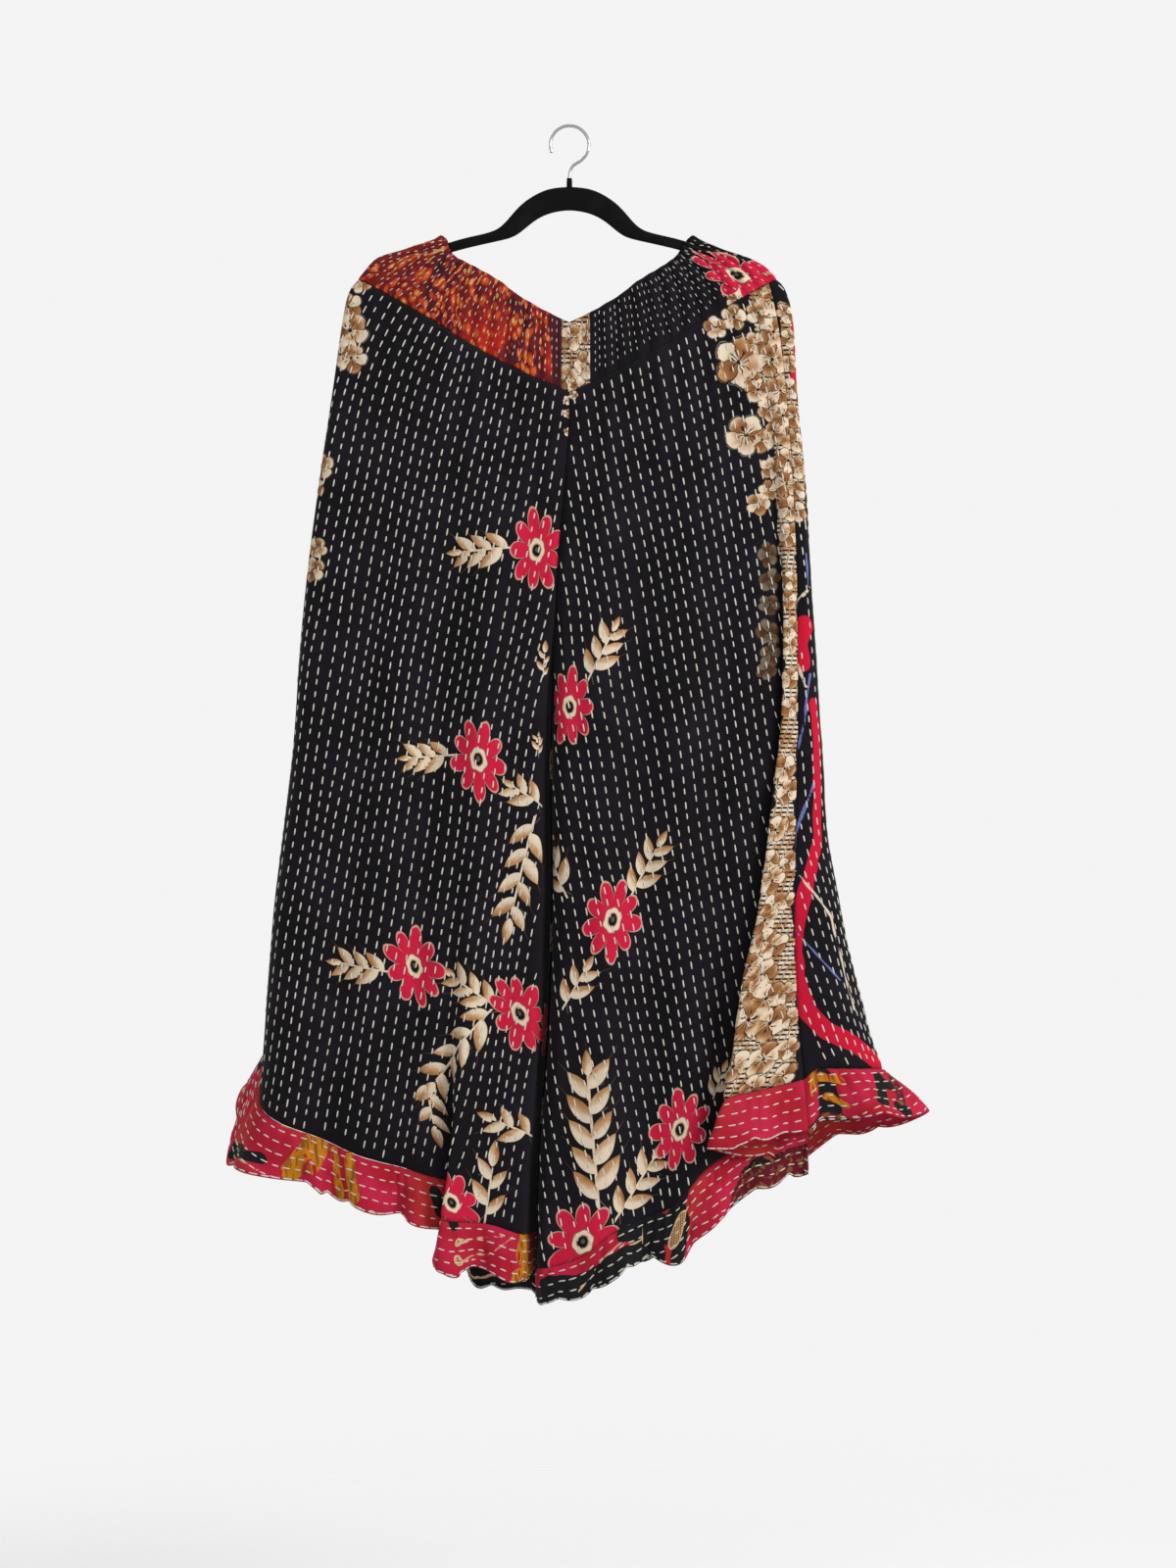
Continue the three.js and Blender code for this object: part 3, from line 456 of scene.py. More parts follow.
def seen_at(grid, px, py):
    """Where on a panel's cloth the point is that shows at a place of the front view."""
    at = grid["at"]
    scale = -EYE[1] / (at[..., 1] - EYE[1])
    x = VIEW_MIDDLE[0] + (at[..., 0] - EYE[0]) * scale
    y = VIEW_MIDDLE[1] + (EYE[2] - at[..., 2]) * scale
    hidden = grid["normal"][..., 1] > 0.25
    cost = (x - px) ** 2 + (y - py) ** 2 + 0.4 * (at[..., 1] + 120) + 4000 * hidden
    k = np.unravel_index(np.argmin(cost), cost.shape)
    return np.array([grid["place"][k], grid["drop"][k]])


UNPAINTED = 99.0  # the distance stored where nothing is painted


def stroke(grid, *painted, wobble=0.0):
    """Signed distance to painted lines, each a half width and the points that it follows."""
    here = np.stack([grid["place"], grid["drop"]], -1)
    best = np.full(here.shape[:2], UNPAINTED)
    for half, points in painted:
        line = [seen_at(grid, *p) for p in points]
        for a, b in zip(line, line[1:] or line):
            along = b - a
            t = np.clip(((here - a) @ along) / max(along @ along, 1e-6), 0, 1)
            gap = np.linalg.norm(here - a - t[..., None] * along, axis=2) - half
            best = np.minimum(best, gap)
    return best + wobble * unevenness(here[..., 0] / 9, here[..., 1] / 9)


def on_corners(obj, grid, name, motifs, reach):
    """Gives every face the coordinates inside its nearest printed motif, and the motif's own
    number, so that the material can draw it with a clean edge."""
    n, m = grid["place"].shape
    here = np.stack([grid["place"], grid["drop"]], -1).reshape(-1, 2)
    count = len(obj.data.polygons)
    corner = np.empty(count * 4, int)
    obj.data.loops.foreach_get("vertex_index", corner)
    corner = corner.reshape(count, 4) % (n * m)
    middle = here[corner].mean(1)
    best, chosen = np.full(count, reach), np.full(count, -1)
    for k, (centre, ax, ay, _) in enumerate(motifs):
        offset = middle - centre
        away = np.hypot(offset @ ax, offset @ ay)
        best, chosen = np.minimum(best, away), np.where(away < best, k, chosen)
    local = np.full((count, 4, 3), 9.0)  # outside every motif
    for k, (centre, ax, ay, number) in enumerate(motifs):
        offset = here[corner[chosen == k]] - centre
        own = np.full(offset.shape[:2], float(number))
        local[chosen == k] = np.stack([offset @ ax, offset @ ay, own], -1)
    layer = obj.data.attributes.new(name, "FLOAT_VECTOR", "CORNER")
    layer.data.foreach_set("vector", local.ravel())


def print_on(obj, grid, flowers, twigs, blossoms, painted, edging):
    """Stores where all that is printed on a piece falls."""
    motifs = (("flower", flowers, 1.25), ("twig", twigs, 1.8), ("blossom", blossoms, 1.3))
    for name, of_one_kind, reach in motifs:
        on_corners(obj, grid, name, of_one_kind, reach)
    on_points(obj, "painted", *painted)
    on_points(obj, "border", edging)


def motif(grid, px, py, wide, tall, tilt=0.0, number=0.0):
    """A round motif seen at a place of the front view: its centre and its two axes."""
    return motif_at(seen_at(grid, px, py), wide, tall, tilt, number)


def motif_at(centre, wide, tall, tilt=0.0, number=0.0):
    c, s = math.cos(math.radians(tilt)), math.sin(math.radians(tilt))
    return np.asarray(centre, float), np.array([c, s]) / wide, np.array([-s, c]) / tall, number


LEAF_TURN, LEAF_SLIM, TIP_LEAF_SLIM = math.radians(38), 0.42, 0.4


def sprig(grid, base, tip, spread, pairs):
    """A leafy twig from its base to its tip."""
    return sprig_at(seen_at(grid, *base), seen_at(grid, *tip), spread, pairs)


def sprig_at(a, b, spread, pairs):
    """The leaves of a twig, each a motif that is also told its side: 0, 0.5 or 0.25 at the tip."""
    a, b = np.asarray(a, float), np.asarray(b, float)
    long = np.linalg.norm(b - a)
    along = (b - a) / long
    step = long / (pairs + 1.1)
    leaves = []
    for k in range(pairs):
        for side, mark in ((1, 0.0), (-1, 0.5)):
            foot = a + along * step * (0.2 + k + 0.35 * (mark == 0))
            c, s = math.cos(LEAF_TURN), side * math.sin(LEAF_TURN)
            way = np.array([along[0] * c - along[1] * s, along[0] * s + along[1] * c])
            half = spread * (0.72 + 0.05 * math.sin(5.0 * k + side) - 0.12 * k / pairs)
            square = np.array([-way[1], way[0]])
            leaves.append((foot + way * half, way / half, square / (half * LEAF_SLIM), k + mark))
    foot = a + along * step * (pairs + 0.05)
    half = np.linalg.norm(b - foot) / 2
    square = np.array([-along[1], along[0]])
    leaves.append((foot + along * half, along / half, square / (half * TIP_LEAF_SLIM), 0.25))
    return leaves


# What is printed on each panel. Flowers: a place, half width and half height. Twigs: base,
# tip, spread and pairs of leaves. Blossoms of the border: a place and half size.
FLOWERS = {
    "leg_left_front": [
        (547, 560, 29, 45), (488, 777, 30, 44), (423, 986, 31, 44), (531, 1033, 29, 45),
        (462, 1228, 27, 42), (566, 1056, 26, 40),
    ],
    "leg_right_front": [
        (582, 722, 26, 43), (625, 938, 32, 45), (693, 1153, 31, 44), (595, 1266, 38, 44),
    ],
}
TWIGS = {
    "leg_left_front": [
        ((521, 557), (455, 563), 20, 3), ((461, 769), (405, 773), 18, 3),
        ((550, 820), (513, 794), 18, 2), ((543, 838), (514, 962), 22, 4),
        ((394, 992), (332, 981), 19, 3), ((506, 1024), (450, 988), 19, 3),
        ((502, 1030), (428, 1126), 22, 4), ((438, 1102), (452, 1170), 17, 2),
        ((542, 1159), (487, 1133), 19, 2), ((496, 1242), (507, 1162), 20, 2),
        ((552, 692), (556, 652), 8, 2), ((549, 770), (551, 745), 8, 2),
    ],
    "leg_right_front": [
        ((602, 692), (633, 630), 19, 3), ((645, 912), (682, 848), 19, 3),
        ((577, 1024), (606, 975), 18, 2), ((610, 1228), (598, 1070), 27, 5),
        ((630, 1242), (680, 1165), 21, 3), ((578, 914), (556, 862), 19, 2),
        ((726, 1120), (742, 1082), 14, 2),
    ],
}
BORDER = {
    "leg_left_front": [
        (356, 312, 15), (358, 336, 20), (359, 364, 17), (348, 360, 16), (329, 478, 14),
        (327, 497, 13), (322, 560, 12), (320, 580, 14), (372, 281, 13),
        (579, 408, 5), (580, 421, 5), (582, 440, 5),
    ],
    "leg_right_front": [
        (754, 370, 28), (760, 443, 22), (776, 448, 15), (731, 333, 13), (749, 325, 14),
        (776, 288, 14), (788, 306, 18), (773, 318, 13), (790, 340, 18), (771, 352, 13),
        (789, 368, 19), (773, 398, 15), (796, 398, 17), (784, 418, 14), (798, 424, 15),
        (790, 440, 12), (803, 446, 13), (804, 470, 14), (803, 494, 15), (766, 386, 12),
        (774, 514, 13), (784, 500, 11), (786, 478, 12), (804, 518, 15), (806, 546, 14),
        (806, 592, 11), (804, 612, 11), (806, 640, 12), (806, 660, 11), (806, 692, 12),
        (806, 722, 12), (801, 785, 15), (803, 808, 14), (791, 845, 15), (805, 842, 10),
        (805, 877, 12), (785, 880, 13), (789, 900, 15), (790, 922, 14), (802, 918, 10),
        (779, 940, 15), (779, 960, 14), (789, 966, 14), (765, 984, 14), (776, 994, 17),
        (762, 1012, 15), (781, 1018, 18), (800, 1012, 13), (761, 1040, 23), (787, 1046, 20),
        (806, 1040, 11), (777, 1080, 19), (804, 1070, 13), (747, 1088, 17), (801, 1098, 14),
        (768, 1108, 14), (586, 405, 5),
    ],
    "leg_right_back": [
        (802, 320, 11), (804, 345, 10), (806, 372, 10), (807, 398, 12), (810, 424, 13),
        (812, 450, 12), (812, 476, 13), (812, 500, 11), (812, 522, 12),
    ],
}
# Blossoms in the fold beside the border: they are printed darker than the rest, as painted shade of
# the fold.
BORDER_IN_PAINTED_SHADE = [  # in the shaded fold beside the border
    (785, 566, 12), (787, 592, 12), (785, 618, 11), (784, 644, 13), (786, 668, 12),
    (782, 684, 10),
]
# half width and the points that it follows
BORDER_STRIP = [
    (17, [(780, 290), (785, 335), (788, 405)]), (12, [(795, 420), (802, 480), (804, 560)]),
    (8.5, [(804, 560), (804, 740)]), (11, [(803, 740), (800, 810)]), (15, [(797, 830), (794, 880)]),
    (20, [(790, 900), (787, 940)]), (26, [(783, 960), (781, 1000)]),
    (33, [(778, 1020), (777, 1060)]), (37, [(776, 1075), (775, 1105)]),
]
BORDER_SIDE = [(5, [(800, 310), (803, 345), (804, 390)]), (9, [(810, 415), (812, 470), (812, 515)])]
BACK_REPEAT = (118, 176)  # width and height of the repeat on the panels behind


def behind(low, high):
    """Flowers and twigs of a panel that nobody sees from in front, in a half-drop repeat."""
    wide, tall = BACK_REPEAT
    flowers, twigs = [], []
    for i, place in enumerate(np.arange(low, high, wide)):
        for drop in np.arange(330 + (i % 2) * tall / 2, 1180, tall):
            flowers.append(motif_at((place, drop), 30, 44, 12 * math.sin(drop), i))
            for (x0, y0), (x1, y1) in (((26, -26), (66, -78)), ((-28, -16), (-76, -42))):
                twigs += sprig_at((place + x0, drop + y0), (place + x1, drop + y1), 19, 3)
    return flowers, twigs


# Sums in a material are written as ordinary expressions on this wrapped socket.
class Dyed:
    def __init__(self, finish, socket):
        self.finish, self.socket = finish, socket

    def sum(self, operation, *others):
        return self.finish.sum(operation, self, *others)

    def __add__(self, o): return self.sum("ADD", o)
    def __radd__(self, o): return self.sum("ADD", o)
    def __sub__(self, o): return self.sum("SUBTRACT", o)
    def __rsub__(self, o): return self.finish.sum("SUBTRACT", o, self)
    def __mul__(self, o): return self.sum("MULTIPLY", o)
    def __rmul__(self, o): return self.sum("MULTIPLY", o)
    def __truediv__(self, o): return self.sum("DIVIDE", o)
    def __rtruediv__(self, o): return self.finish.sum("DIVIDE", o, self)
    def __pow__(self, o): return self.sum("POWER", o)
    def __abs__(self): return self.sum("ABSOLUTE")
    def __or__(self, o): return self.sum("MAXIMUM", o)

    def under(self, edge, soft=0.04):
        """1 where the value lies under an edge, softened over a little width."""
        return self.finish.node(
            "ShaderNodeMapRange", {"interpolation_type": "SMOOTHSTEP"},
            self.socket, edge - soft, edge + soft, 1.0, 0.0,
        )

    def over(self, edge, soft=0.04):
        return 1 - self.under(edge, soft)


class Finish:
    """One material; its nodes are added by node(type, settings, socket values in order)."""

    def __init__(self, name):
        self.material = bpy.data.materials.new(name)
        self.material.use_nodes = True
        self.tree = self.material.node_tree
        self.shader = self.tree.nodes["Principled BSDF"]

    def feed(self, socket, v):
        """Links another node to a socket, or sets its value."""
        v = v.socket if isinstance(v, Dyed) else v
        if isinstance(v, bpy.types.NodeSocket):
            self.tree.links.new(v, socket)
        elif v is not None:
            socket.default_value = v

    def node(self, kind, settings=None, *values, out=0, **named):
        node = self.tree.nodes.new(kind)
        for key, setting in (settings or {}).items():
            setattr(node, key, setting)
        for key, v in [*enumerate(values), *named.items()]:
            self.feed(node.inputs[key], v)
        return Dyed(self, node.outputs[out])

    def sum(self, operation, *values):
        return self.node("ShaderNodeMath", {"operation": operation}, *values)

    def attribute(self, name, parts=1):
        out = "Fac" if parts == 1 else "Vector"
        read = self.node("ShaderNodeAttribute", {"attribute_name": name}, out=out)
        return read if parts == 1 else self.apart(read)

    def own_place(self):
        return self.node("ShaderNodeTexCoord", None, out="Object")

    def apart(self, vector):
        split = self.node("ShaderNodeSeparateXYZ", None, vector)
        return [Dyed(self, o) for o in split.socket.node.outputs]

    def together(self, *parts):
        return self.node("ShaderNodeCombineXYZ", None, *parts)

    def blend(self, under, over, share):
        """One colour laid over another where share is 1."""
        unused = [None] * 5
        return self.node(
            "ShaderNodeMix", {"data_type": "RGBA"}, share, *unused, under, over, out=2
        )

    def noise(self, where, scale, detail=2.0, out="Fac"):
        return self.node("ShaderNodeTexNoise", None, where, Scale=scale, Detail=detail, out=out)

    def finish(self, colour, bump, roughness, strength=0.5, distance=0.001, **uniform):
        """Joins colour, relief and roughness to the shader and sets what is the same all over."""
        normal = self.node(
            "ShaderNodeBump", None, Strength=strength, Distance=distance, Height=bump
        )
        inputs = {"Base Color": colour, "Roughness": roughness, "Normal": normal, **uniform}
        for key, v in inputs.items():
            self.feed(self.shader.inputs[key.replace("_", " ")], v)
        return self.material


LIGHT = 1.5  # how much brighter than the dye itself a lit piece looks


def dye(*shown):
    """A dye from the red, green and blue, 0 to 255, that it shows where light falls on it."""
    linear = [((c / 255 + 0.055) / 1.055) ** 2.4 if c > 10 else c / 3295 for c in shown]
    return (*(c / LIGHT for c in linear), 1.0)


BLACK, SOOT = dye(20, 18, 22), dye(30, 26, 33)
CRIMSON, RASPBERRY, WINE = dye(196, 22, 52), dye(206, 38, 72), dye(120, 10, 30)
CREAM, TAN, UMBER = dye(226, 208, 182), dye(186, 138, 92), dye(128, 76, 38)
LAVENDER = dye(104, 110, 168)
INK = dye(40, 26, 24)
THREAD = dye(232, 230, 218)

FLOWER_PETALS, BLOSSOM_PETALS = 9, 5


def drawn_flower(f, colour):
    """Nine blunt crimson petals with a cream outline, round a cream ring and a black eye."""
    x, y, number = f.attribute("flower", 3)
    wander = f.noise(f.together(x * 3.0, y * 3.0, number), 1.0) - 0.5
    far = (x * x + y * y) ** 0.5 + 0.10 * wander
    turn = y.sum("ARCTAN2", x)
    lobe = abs((turn * (FLOWER_PETALS / 2)).sum("COSINE"))
    which = (turn * (FLOWER_PETALS / 2 / math.pi) + 0.5).sum("FLOOR")
    long = 0.95 + 0.06 * (which * 2.7 + number * 1.9).sum("SINE")
    edge = 0.47 + (long - 0.47) * lobe ** 0.62
    inside = (far - edge).under(0.0, 0.02)
    petal = (far - edge).under(-0.045, 0.02)
    shade = f.blend(CRIMSON, RASPBERRY, f.noise(f.together(x, y, number), 2.5))
    vein = lobe.under(0.3, 0.25) * far.under(0.62, 0.12) * far.over(0.45, 0.1) * 0.4
    shade = f.blend(shade, WINE, vein)
    colour = f.blend(colour, dye(214, 160, 140), inside)
    colour = f.blend(colour, shade, petal)
    wavy = far + 0.014 * (turn * 6.0 + number).sum("SINE")
    colour = f.blend(colour, UMBER, wavy.under(0.285, 0.015))
    colour = f.blend(colour, CREAM, wavy.under(0.265, 0.02))
    colour = f.blend(colour, TAN, far.under(0.165, 0.02))
    colour = f.blend(colour, BLACK, far.under(0.14, 0.02))
    return f.blend(colour, dye(90, 84, 88), (far + 0.3 * y).under(0.05, 0.02))


def drawn_twig(f, colour):
    """Slim leaves pointed at the tip, cream turning to brown, on a thin cream stem."""
    x, y, number = f.attribute("twig", 3)
    mark = number.sum("FRACT")
    side = 1.0 - 2.0 * mark.over(0.4, 0.02)
    wander = f.noise(f.together(x, y, number), 1.6) - 0.5
    wide = ((x + 1.0) | 0.0) ** 0.7 * ((1.0 - x) | 0.0) * 0.97
    leaf = (abs(y + 0.1 * wander) - wide).under(0.0, 0.05)
    reach = (x + 1.0) * math.sin(LEAF_TURN) + side * y * (LEAF_SLIM * math.cos(LEAF_TURN))
    paired = 1.0 - mark.over(0.2, 0.02) * mark.under(0.3, 0.02)
    stem = abs(reach).under(0.07, 0.02) * paired
    tone = 0.32 + 0.38 * x - 0.42 * side * y + 0.6 * wander + 0.12 * (number * 4.1).sum("SINE")
    shade = f.blend(CREAM, TAN, tone.over(0.34, 0.28))
    shade = f.blend(shade, UMBER, tone.over(0.78, 0.22) * 0.85)
    colour = f.blend(colour, CREAM, stem)
    return f.blend(colour, shade, leaf)


def drawn_blossoms(f, colour, ground):
    """Round five-petalled blossoms in cream and brown with ink outlines; between them, inside
    the border, short ladders of ink bars."""
    place, drop, _ = f.attribute("cloth_place", 3)
    x, y, number = f.attribute("blossom", 3)
    far = (x * x + y * y) ** 0.5
    turn = y.sum("ARCTAN2", x) + number * 1.7
    wander = f.noise(f.together(place, drop, number), 90.0) - 0.5
    turn = turn + 0.9 * wander
    far = far + 0.16 * wander
    lobe = abs((turn * (BLOSSOM_PETALS / 2)).sum("COSINE"))
    edge = 0.68 + 0.30 * lobe ** 0.6
    petal = (turn * round(BLOSSOM_PETALS / (2 * math.pi), 4) + 0.5).sum("FLOOR")
    own = (petal * 2.4 + number * 1.9).sum("SINE") * 0.35
    tone = own + abs(far - 0.42) * 1.1 + 0.5 * wander
    shade = f.blend(TAN, CREAM, tone.over(0.28, 0.3))
    shade = f.blend(shade, UMBER, tone.under(0.02, 0.25) * 0.8)
    # painted shade: blossoms numbered 10 and up lie in the fold beside the border and are darkened
    # towards dark brown
    shade = f.blend(shade, dye(46, 28, 18), number.over(9.5, 0.2) * 0.8)
    ray = (turn * 10.0 + wander * 8.0).sum("SINE").over(0.7 - 0.2 * lobe, 0.25)
    rays = ray * (far - 0.2 - 0.25 * lobe).under(0.0, 0.1)
    notch = lobe.under(0.10, 0.07) * far.over(0.2, 0.05)
    line = rays | notch | far.under(0.09, 0.03) | abs(far - edge + 0.03).under(0.03, 0.025)
    bent = 0.0012 * f.noise(f.together(place, drop, 2.0), 160.0)
    rungs = ((drop + bent) * 1350.0).sum("SINE")
    rails = abs(((place + bent) * 420.0 + 1.5 * (drop * 60.0).sum("SINE")).sum("SINE"))
    ladder = f.blend(CREAM, TAN, f.noise(f.together(place, drop, 1.0), 60.0).over(0.5, 0.1))
    bars = rungs.over(0.2, 0.3) * rails.over(0.35, 0.1) | rails.under(0.16, 0.06)
    ladder = f.blend(ladder, INK, bars)
    colour = f.blend(colour, ladder, ground)
    inside = (far - edge).under(0.0, 0.03)
    colour = f.blend(colour, shade, inside)
    return f.blend(colour, INK, line * (far - edge).under(0.03, 0.02))


def weave_and_quilting(f, close=1.0):
    """Relief of the cloth: its plain weave, the pucker along the stitch rows and the small
    wrinkles between them."""
    place, drop, row = f.attribute("cloth_place", 3)
    weave = (place * 4200.0).sum("SINE") * (drop * 4200.0).sum("SINE")
    where = f.together(place, drop, 0.0)
    wrinkle = f.noise(f.together(row * 0.9, drop * 170.0 * close, 0.0), 1.0, 3.0)
    trough = (abs((row + 0.5).sum("FRACT") - 0.5)).under(0.0, 0.3)
    return where, wrinkle * 0.75 + 0.05 * weave - 0.5 * trough


def printed_black():
    f = Finish("printed_black_cotton")
    where, relief = weave_and_quilting(f)
    wave, blue, cream = f.attribute("painted", 3)
    border = f.attribute("border")
    fade = f.noise(where, 14.0, 3.0)
    colour = f.blend(BLACK, SOOT, fade.over(0.55, 0.2))
    colour = f.blend(colour, CRIMSON, wave.under(0.0, 0.4))
    colour = f.blend(colour, LAVENDER, blue.under(0.0, 0.4))
    colour = f.blend(colour, CREAM, cream.under(0.0, 0.4) * 0.85)
    colour = drawn_twig(f, colour)
    colour = drawn_blossoms(f, colour, border.under(0.0, 0.6))
    colour = drawn_flower(f, colour)
    roughness = 0.82 + 0.12 * f.noise(where, 60.0)
    return f.finish(
        colour, relief, roughness, strength=0.6, distance=0.0012, Sheen_Weight=0.03,
        Sheen_Roughness=0.5, Specular_IOR_Level=0.05,
    )


PRINTED_BLACK = printed_black()


# Running stitches: white cotton thread that dips in and out of both layers, in rows that run
# down the legs. Each is a small pad of thread that stands a little proud of the cloth.
STITCH, STITCH_GAP = 7.8, 5.0
THREAD_HALF, THREAD_HIGH = 0.82, 0.75


def thread_finish():
    f = Finish("quilting_thread")
    where = f.own_place()
    twist = f.noise(where, 900.0, 1.0)
    colour = f.blend(THREAD, dye(200, 196, 180), f.noise(where, 60.0))
    return f.finish(
        colour, twist, 0.75, strength=0.3, distance=0.0003, Sheen_Weight=0.05,
        Specular_IOR_Level=0.2,
    )


THREAD_FINISH = thread_finish()


def fitted(piece, material, in_place_of=None):
    """Gives a piece its material and its body, and hides the CAD piece that it replaces."""
    piece.data.materials.append(material)
    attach(piece, "root")
    if in_place_of:
        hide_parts(in_place_of)


def stitched(
    name, grid, paths, length=STITCH, gap=STITCH_GAP, seed=1, proud=PLY_OUT, half=THREAD_HALF
):
    """Running stitches along paths of grid places, all in one piece."""
    random = np.random.default_rng(seed)
    starts = []
    for i, j in paths:
        along = lengths(between(grid["at"], i, j))
        if along[-1] < 2 * length:
            continue
        begin = np.arange(3 + random.random() * gap, along[-1] - length - 3, length + gap)
        begin = begin + (random.random(len(begin)) - 0.5) * gap * 0.4
        long = length * (0.8 + 0.4 * random.random(len(begin)))
        spots = begin[:, None] + long[:, None] * np.array([0, 0.09, 0.35, 0.65, 0.91, 1])[None, :]
        sway = (random.random((len(begin), 1)) - 0.5) * 0.03
        starts.append((np.interp(spots, along, i) + sway, np.interp(spots, along, j)))
    i, j = (np.concatenate(s) for s in zip(*starts))
    normal = unit(between(grid["normal"], i, j))
    at = between(grid["at"], i, j) + normal * proud
    across = np.cross(unit(np.gradient(at, axis=1)), normal)
    wide = np.array([0.7, 1.0, 1.0, 0.7])[None, :, None] * half
    high = np.array([0.35, 1.0, 1.0, 0.35])[None, :, None] * THREAD_HIGH
    body, n, b = at[:, 1:5], normal[:, 1:5], across[:, 1:5]
    rings = np.stack([body + b * wide, body + n * high, body - b * wide, body - n * 0.35], 2)
    tips = at[:, [0, 5]] - normal[:, [0, 5]] * 0.3
    count = len(at)
    points = np.concatenate([rings.reshape(count, 16, 3), tips], 1).reshape(-1, 3)
    loop = [(s, (s + 1) % 4) for s in range(4)]
    pad = [(4 * k + s, 4 * k + t, 4 * k + 4 + t, 4 * k + 4 + s) for k in range(3) for s, t in loop]
    ends = [(16, t, s) for s, t in loop] + [(17, 12 + s, 12 + t) for s, t in loop]
    base = (np.arange(count) * 18)[:, None, None]
    quads = (base + np.array(pad)).reshape(-1, 4).tolist()
    obj = meshed(name, points, quads + (base + np.array(ends)).reshape(-1, 3).tolist())
    fitted(obj, THREAD_FINISH)
    return obj


def rows_down(grid):
    """Paths of the rows that run down a panel, where its row number is a whole one."""
    row = grid["row"]
    paths = []
    for k in range(int(row.min()) - 1, int(row.max()) + 2):
        i, j = [], []
        for down in range(row.shape[1]):
            line = row[:, down]
            flip = line[0] > line[-1]
            line = line[::-1] if flip else line
            if line[0] + 0.3 < k < line[-1] - 0.3:
                at = np.interp(k, line, np.arange(len(line)))
                i.append(len(line) - 1 - at if flip else at)
                j.append(down)
        if len(i) > 8:
            paths.append((np.array(i, float), np.array(j, float)))
    return paths


def cut_of(grid):
    """The flat width and length of a panel's cloth and its area, in metres."""
    at = grid["at"]
    a, b = at[1:, :-1] - at[:-1, :-1], at[:-1, 1:] - at[:-1, :-1]
    area = np.linalg.norm(np.cross(a, b), axis=2).sum() * MM * MM
    width, length = lengths(at, 0)[-1].max() * MM, lengths(at, 1)[:, -1].max() * MM
    flat = (round(float(width), 3), round(float(length), 3))
    return flat, round(float(min(area, width * length)), 4)


def dressed(name, grid, obj, material):
    """Puts the cloth in place of its CAD wall, with its material, and works out its flat cut and
    area.
    """
    fitted(obj, material, name)
    flat, area = cut_of(grid)


# the side strip of the right back panel: half width and the points that it follows
BACK_STRIP_WAVE = [
    (9, [(822, 636), (812, 655), (817, 676)]), (6, [(830, 716), (833, 750), (834, 800)]),
    (5.5, [(834, 805), (835, 860), (823, 900)]), (6.5, [(823, 900), (813, 935), (811, 975)]),
    (8, [(811, 975), (814, 1000)]), (10, [(814, 1000), (822, 1030)]),
    (12, [(822, 1030), (842, 1050), (870, 1065), (892, 1080)]), (4, [(808, 325), (810, 395)]),
]
BACK_STRIP_BLUE = [
    (1.2, [(826, 690), (820, 735), (812, 765)]), (1.2, [(830, 800), (812, 850), (811, 885)]),
    (1.4, [(811, 950), (840, 985), (858, 1000)]), (1.2, [(822, 565), (824, 600)]),
]
BACK_STRIP_CREAM = [
    (1.2, [(813, 676), (822, 700), (832, 707)]),
    (1.4, [(811, 890), (832, 915), (848, 935), (860, 985), (872, 1030)]),
    (1.3, [(813, 612), (826, 600)]), (1.2, [(817, 500), (822, 540)]),
]

for name, leg, face, first, last, columns, rows in PANELS:
    grid = leg_panel(name, leg, face, first, last, columns, rows)
    obj = cut_cloth(name, grid)
    flowers = [
        motif(grid, *f[:4], tilt=9 * k, number=k) for k, f in enumerate(FLOWERS.get(name, []))
    ]
    twigs = [leaf for t in TWIGS.get(name, []) for leaf in sprig(grid, *t)]
    if face == "back":
        shown_edge = 60 if leg == "right" else 20
        flowers, twigs = behind(60, 330 - shown_edge)
    blossoms = [
        motif(grid, x, y, r, r * 1.05, tilt=40 * k, number=k % 7)
        for k, (x, y, r) in enumerate(BORDER.get(name, []))
    ]
    # the blossoms in the fold beside the border, numbered from 10 so that they are darkened with
    # painted shade
    if name == "leg_right_front":
        blossoms += [
            motif(grid, x, y, r, r * 1.2, 50 * k, 10 + k)
            for k, (x, y, r) in enumerate(BORDER_IN_PAINTED_SHADE)
        ]
    none = np.full(grid["drop"].shape, UNPAINTED)
    painted = [none] * 3
    if name == "leg_right_back":
        strips = (BACK_STRIP_WAVE, BACK_STRIP_BLUE, BACK_STRIP_CREAM)
        painted = [stroke(grid, *strip, wobble=0.8) for strip in strips]
    edging = {"leg_right_front": BORDER_STRIP, "leg_right_back": BORDER_SIDE}.get(name)
    edging = stroke(grid, *edging, wobble=3) if edging else none
    print_on(obj, grid, flowers, twigs, blossoms, painted, edging)
    thread = stitched(name + "_stitches", grid, rows_down(grid), seed=len(name))
    dressed(name, grid, obj, PRINTED_BLACK)


# Waistband: a deep casing with elastic inside, pieced from a fleck-printed maroon cotton on
# the left, a small patch of the flower border in the middle and black cotton on the right,
# shirred by close rows of stitches. It hangs over the hanger's arms.
PATCH_LEFT, PATCH_RIGHT = 8, 21
BAND_ROW_SPACING = 6.0
BAND_TOP = table("place drop", [
    (0, 201), (0.1, 190), (0.17, 181), (0.23, 173), (0.32, 159), (0.56, 136), (0.8, 121), (1, 110),
])


def band_points(leg, place, v):
    """Points of the waistband at places across (0 middle, 1 side, 2 middle behind)."""
    near = from_inseam(place)
    drop = mix(value(BAND_TOP, "place", "drop", near), value(BAND_SEAM, "place", "drop", near), v)
    line = lines(leg, drop)
    cap_share = 1 - line["side_round"] / (line["side"] - line["inner"])
    low, high = np.zeros(near.shape), np.full(near.shape, CAP)
    for _ in range(32):
        half = (low + high) / 2
        less = share_across(on_either_face(leg, place > 1, half, line), line) < near
        low, high = np.where(less, half, low), np.where(less, high, half)
    turn = np.clip((near - cap_share) / (1 - cap_share), 0, 1)
    station = np.where(near >= cap_share, mix(CAP, 1, turn), (low + high) / 2)
    return cloth(leg, np.where(place > 1, 2 - station, station), drop), drop


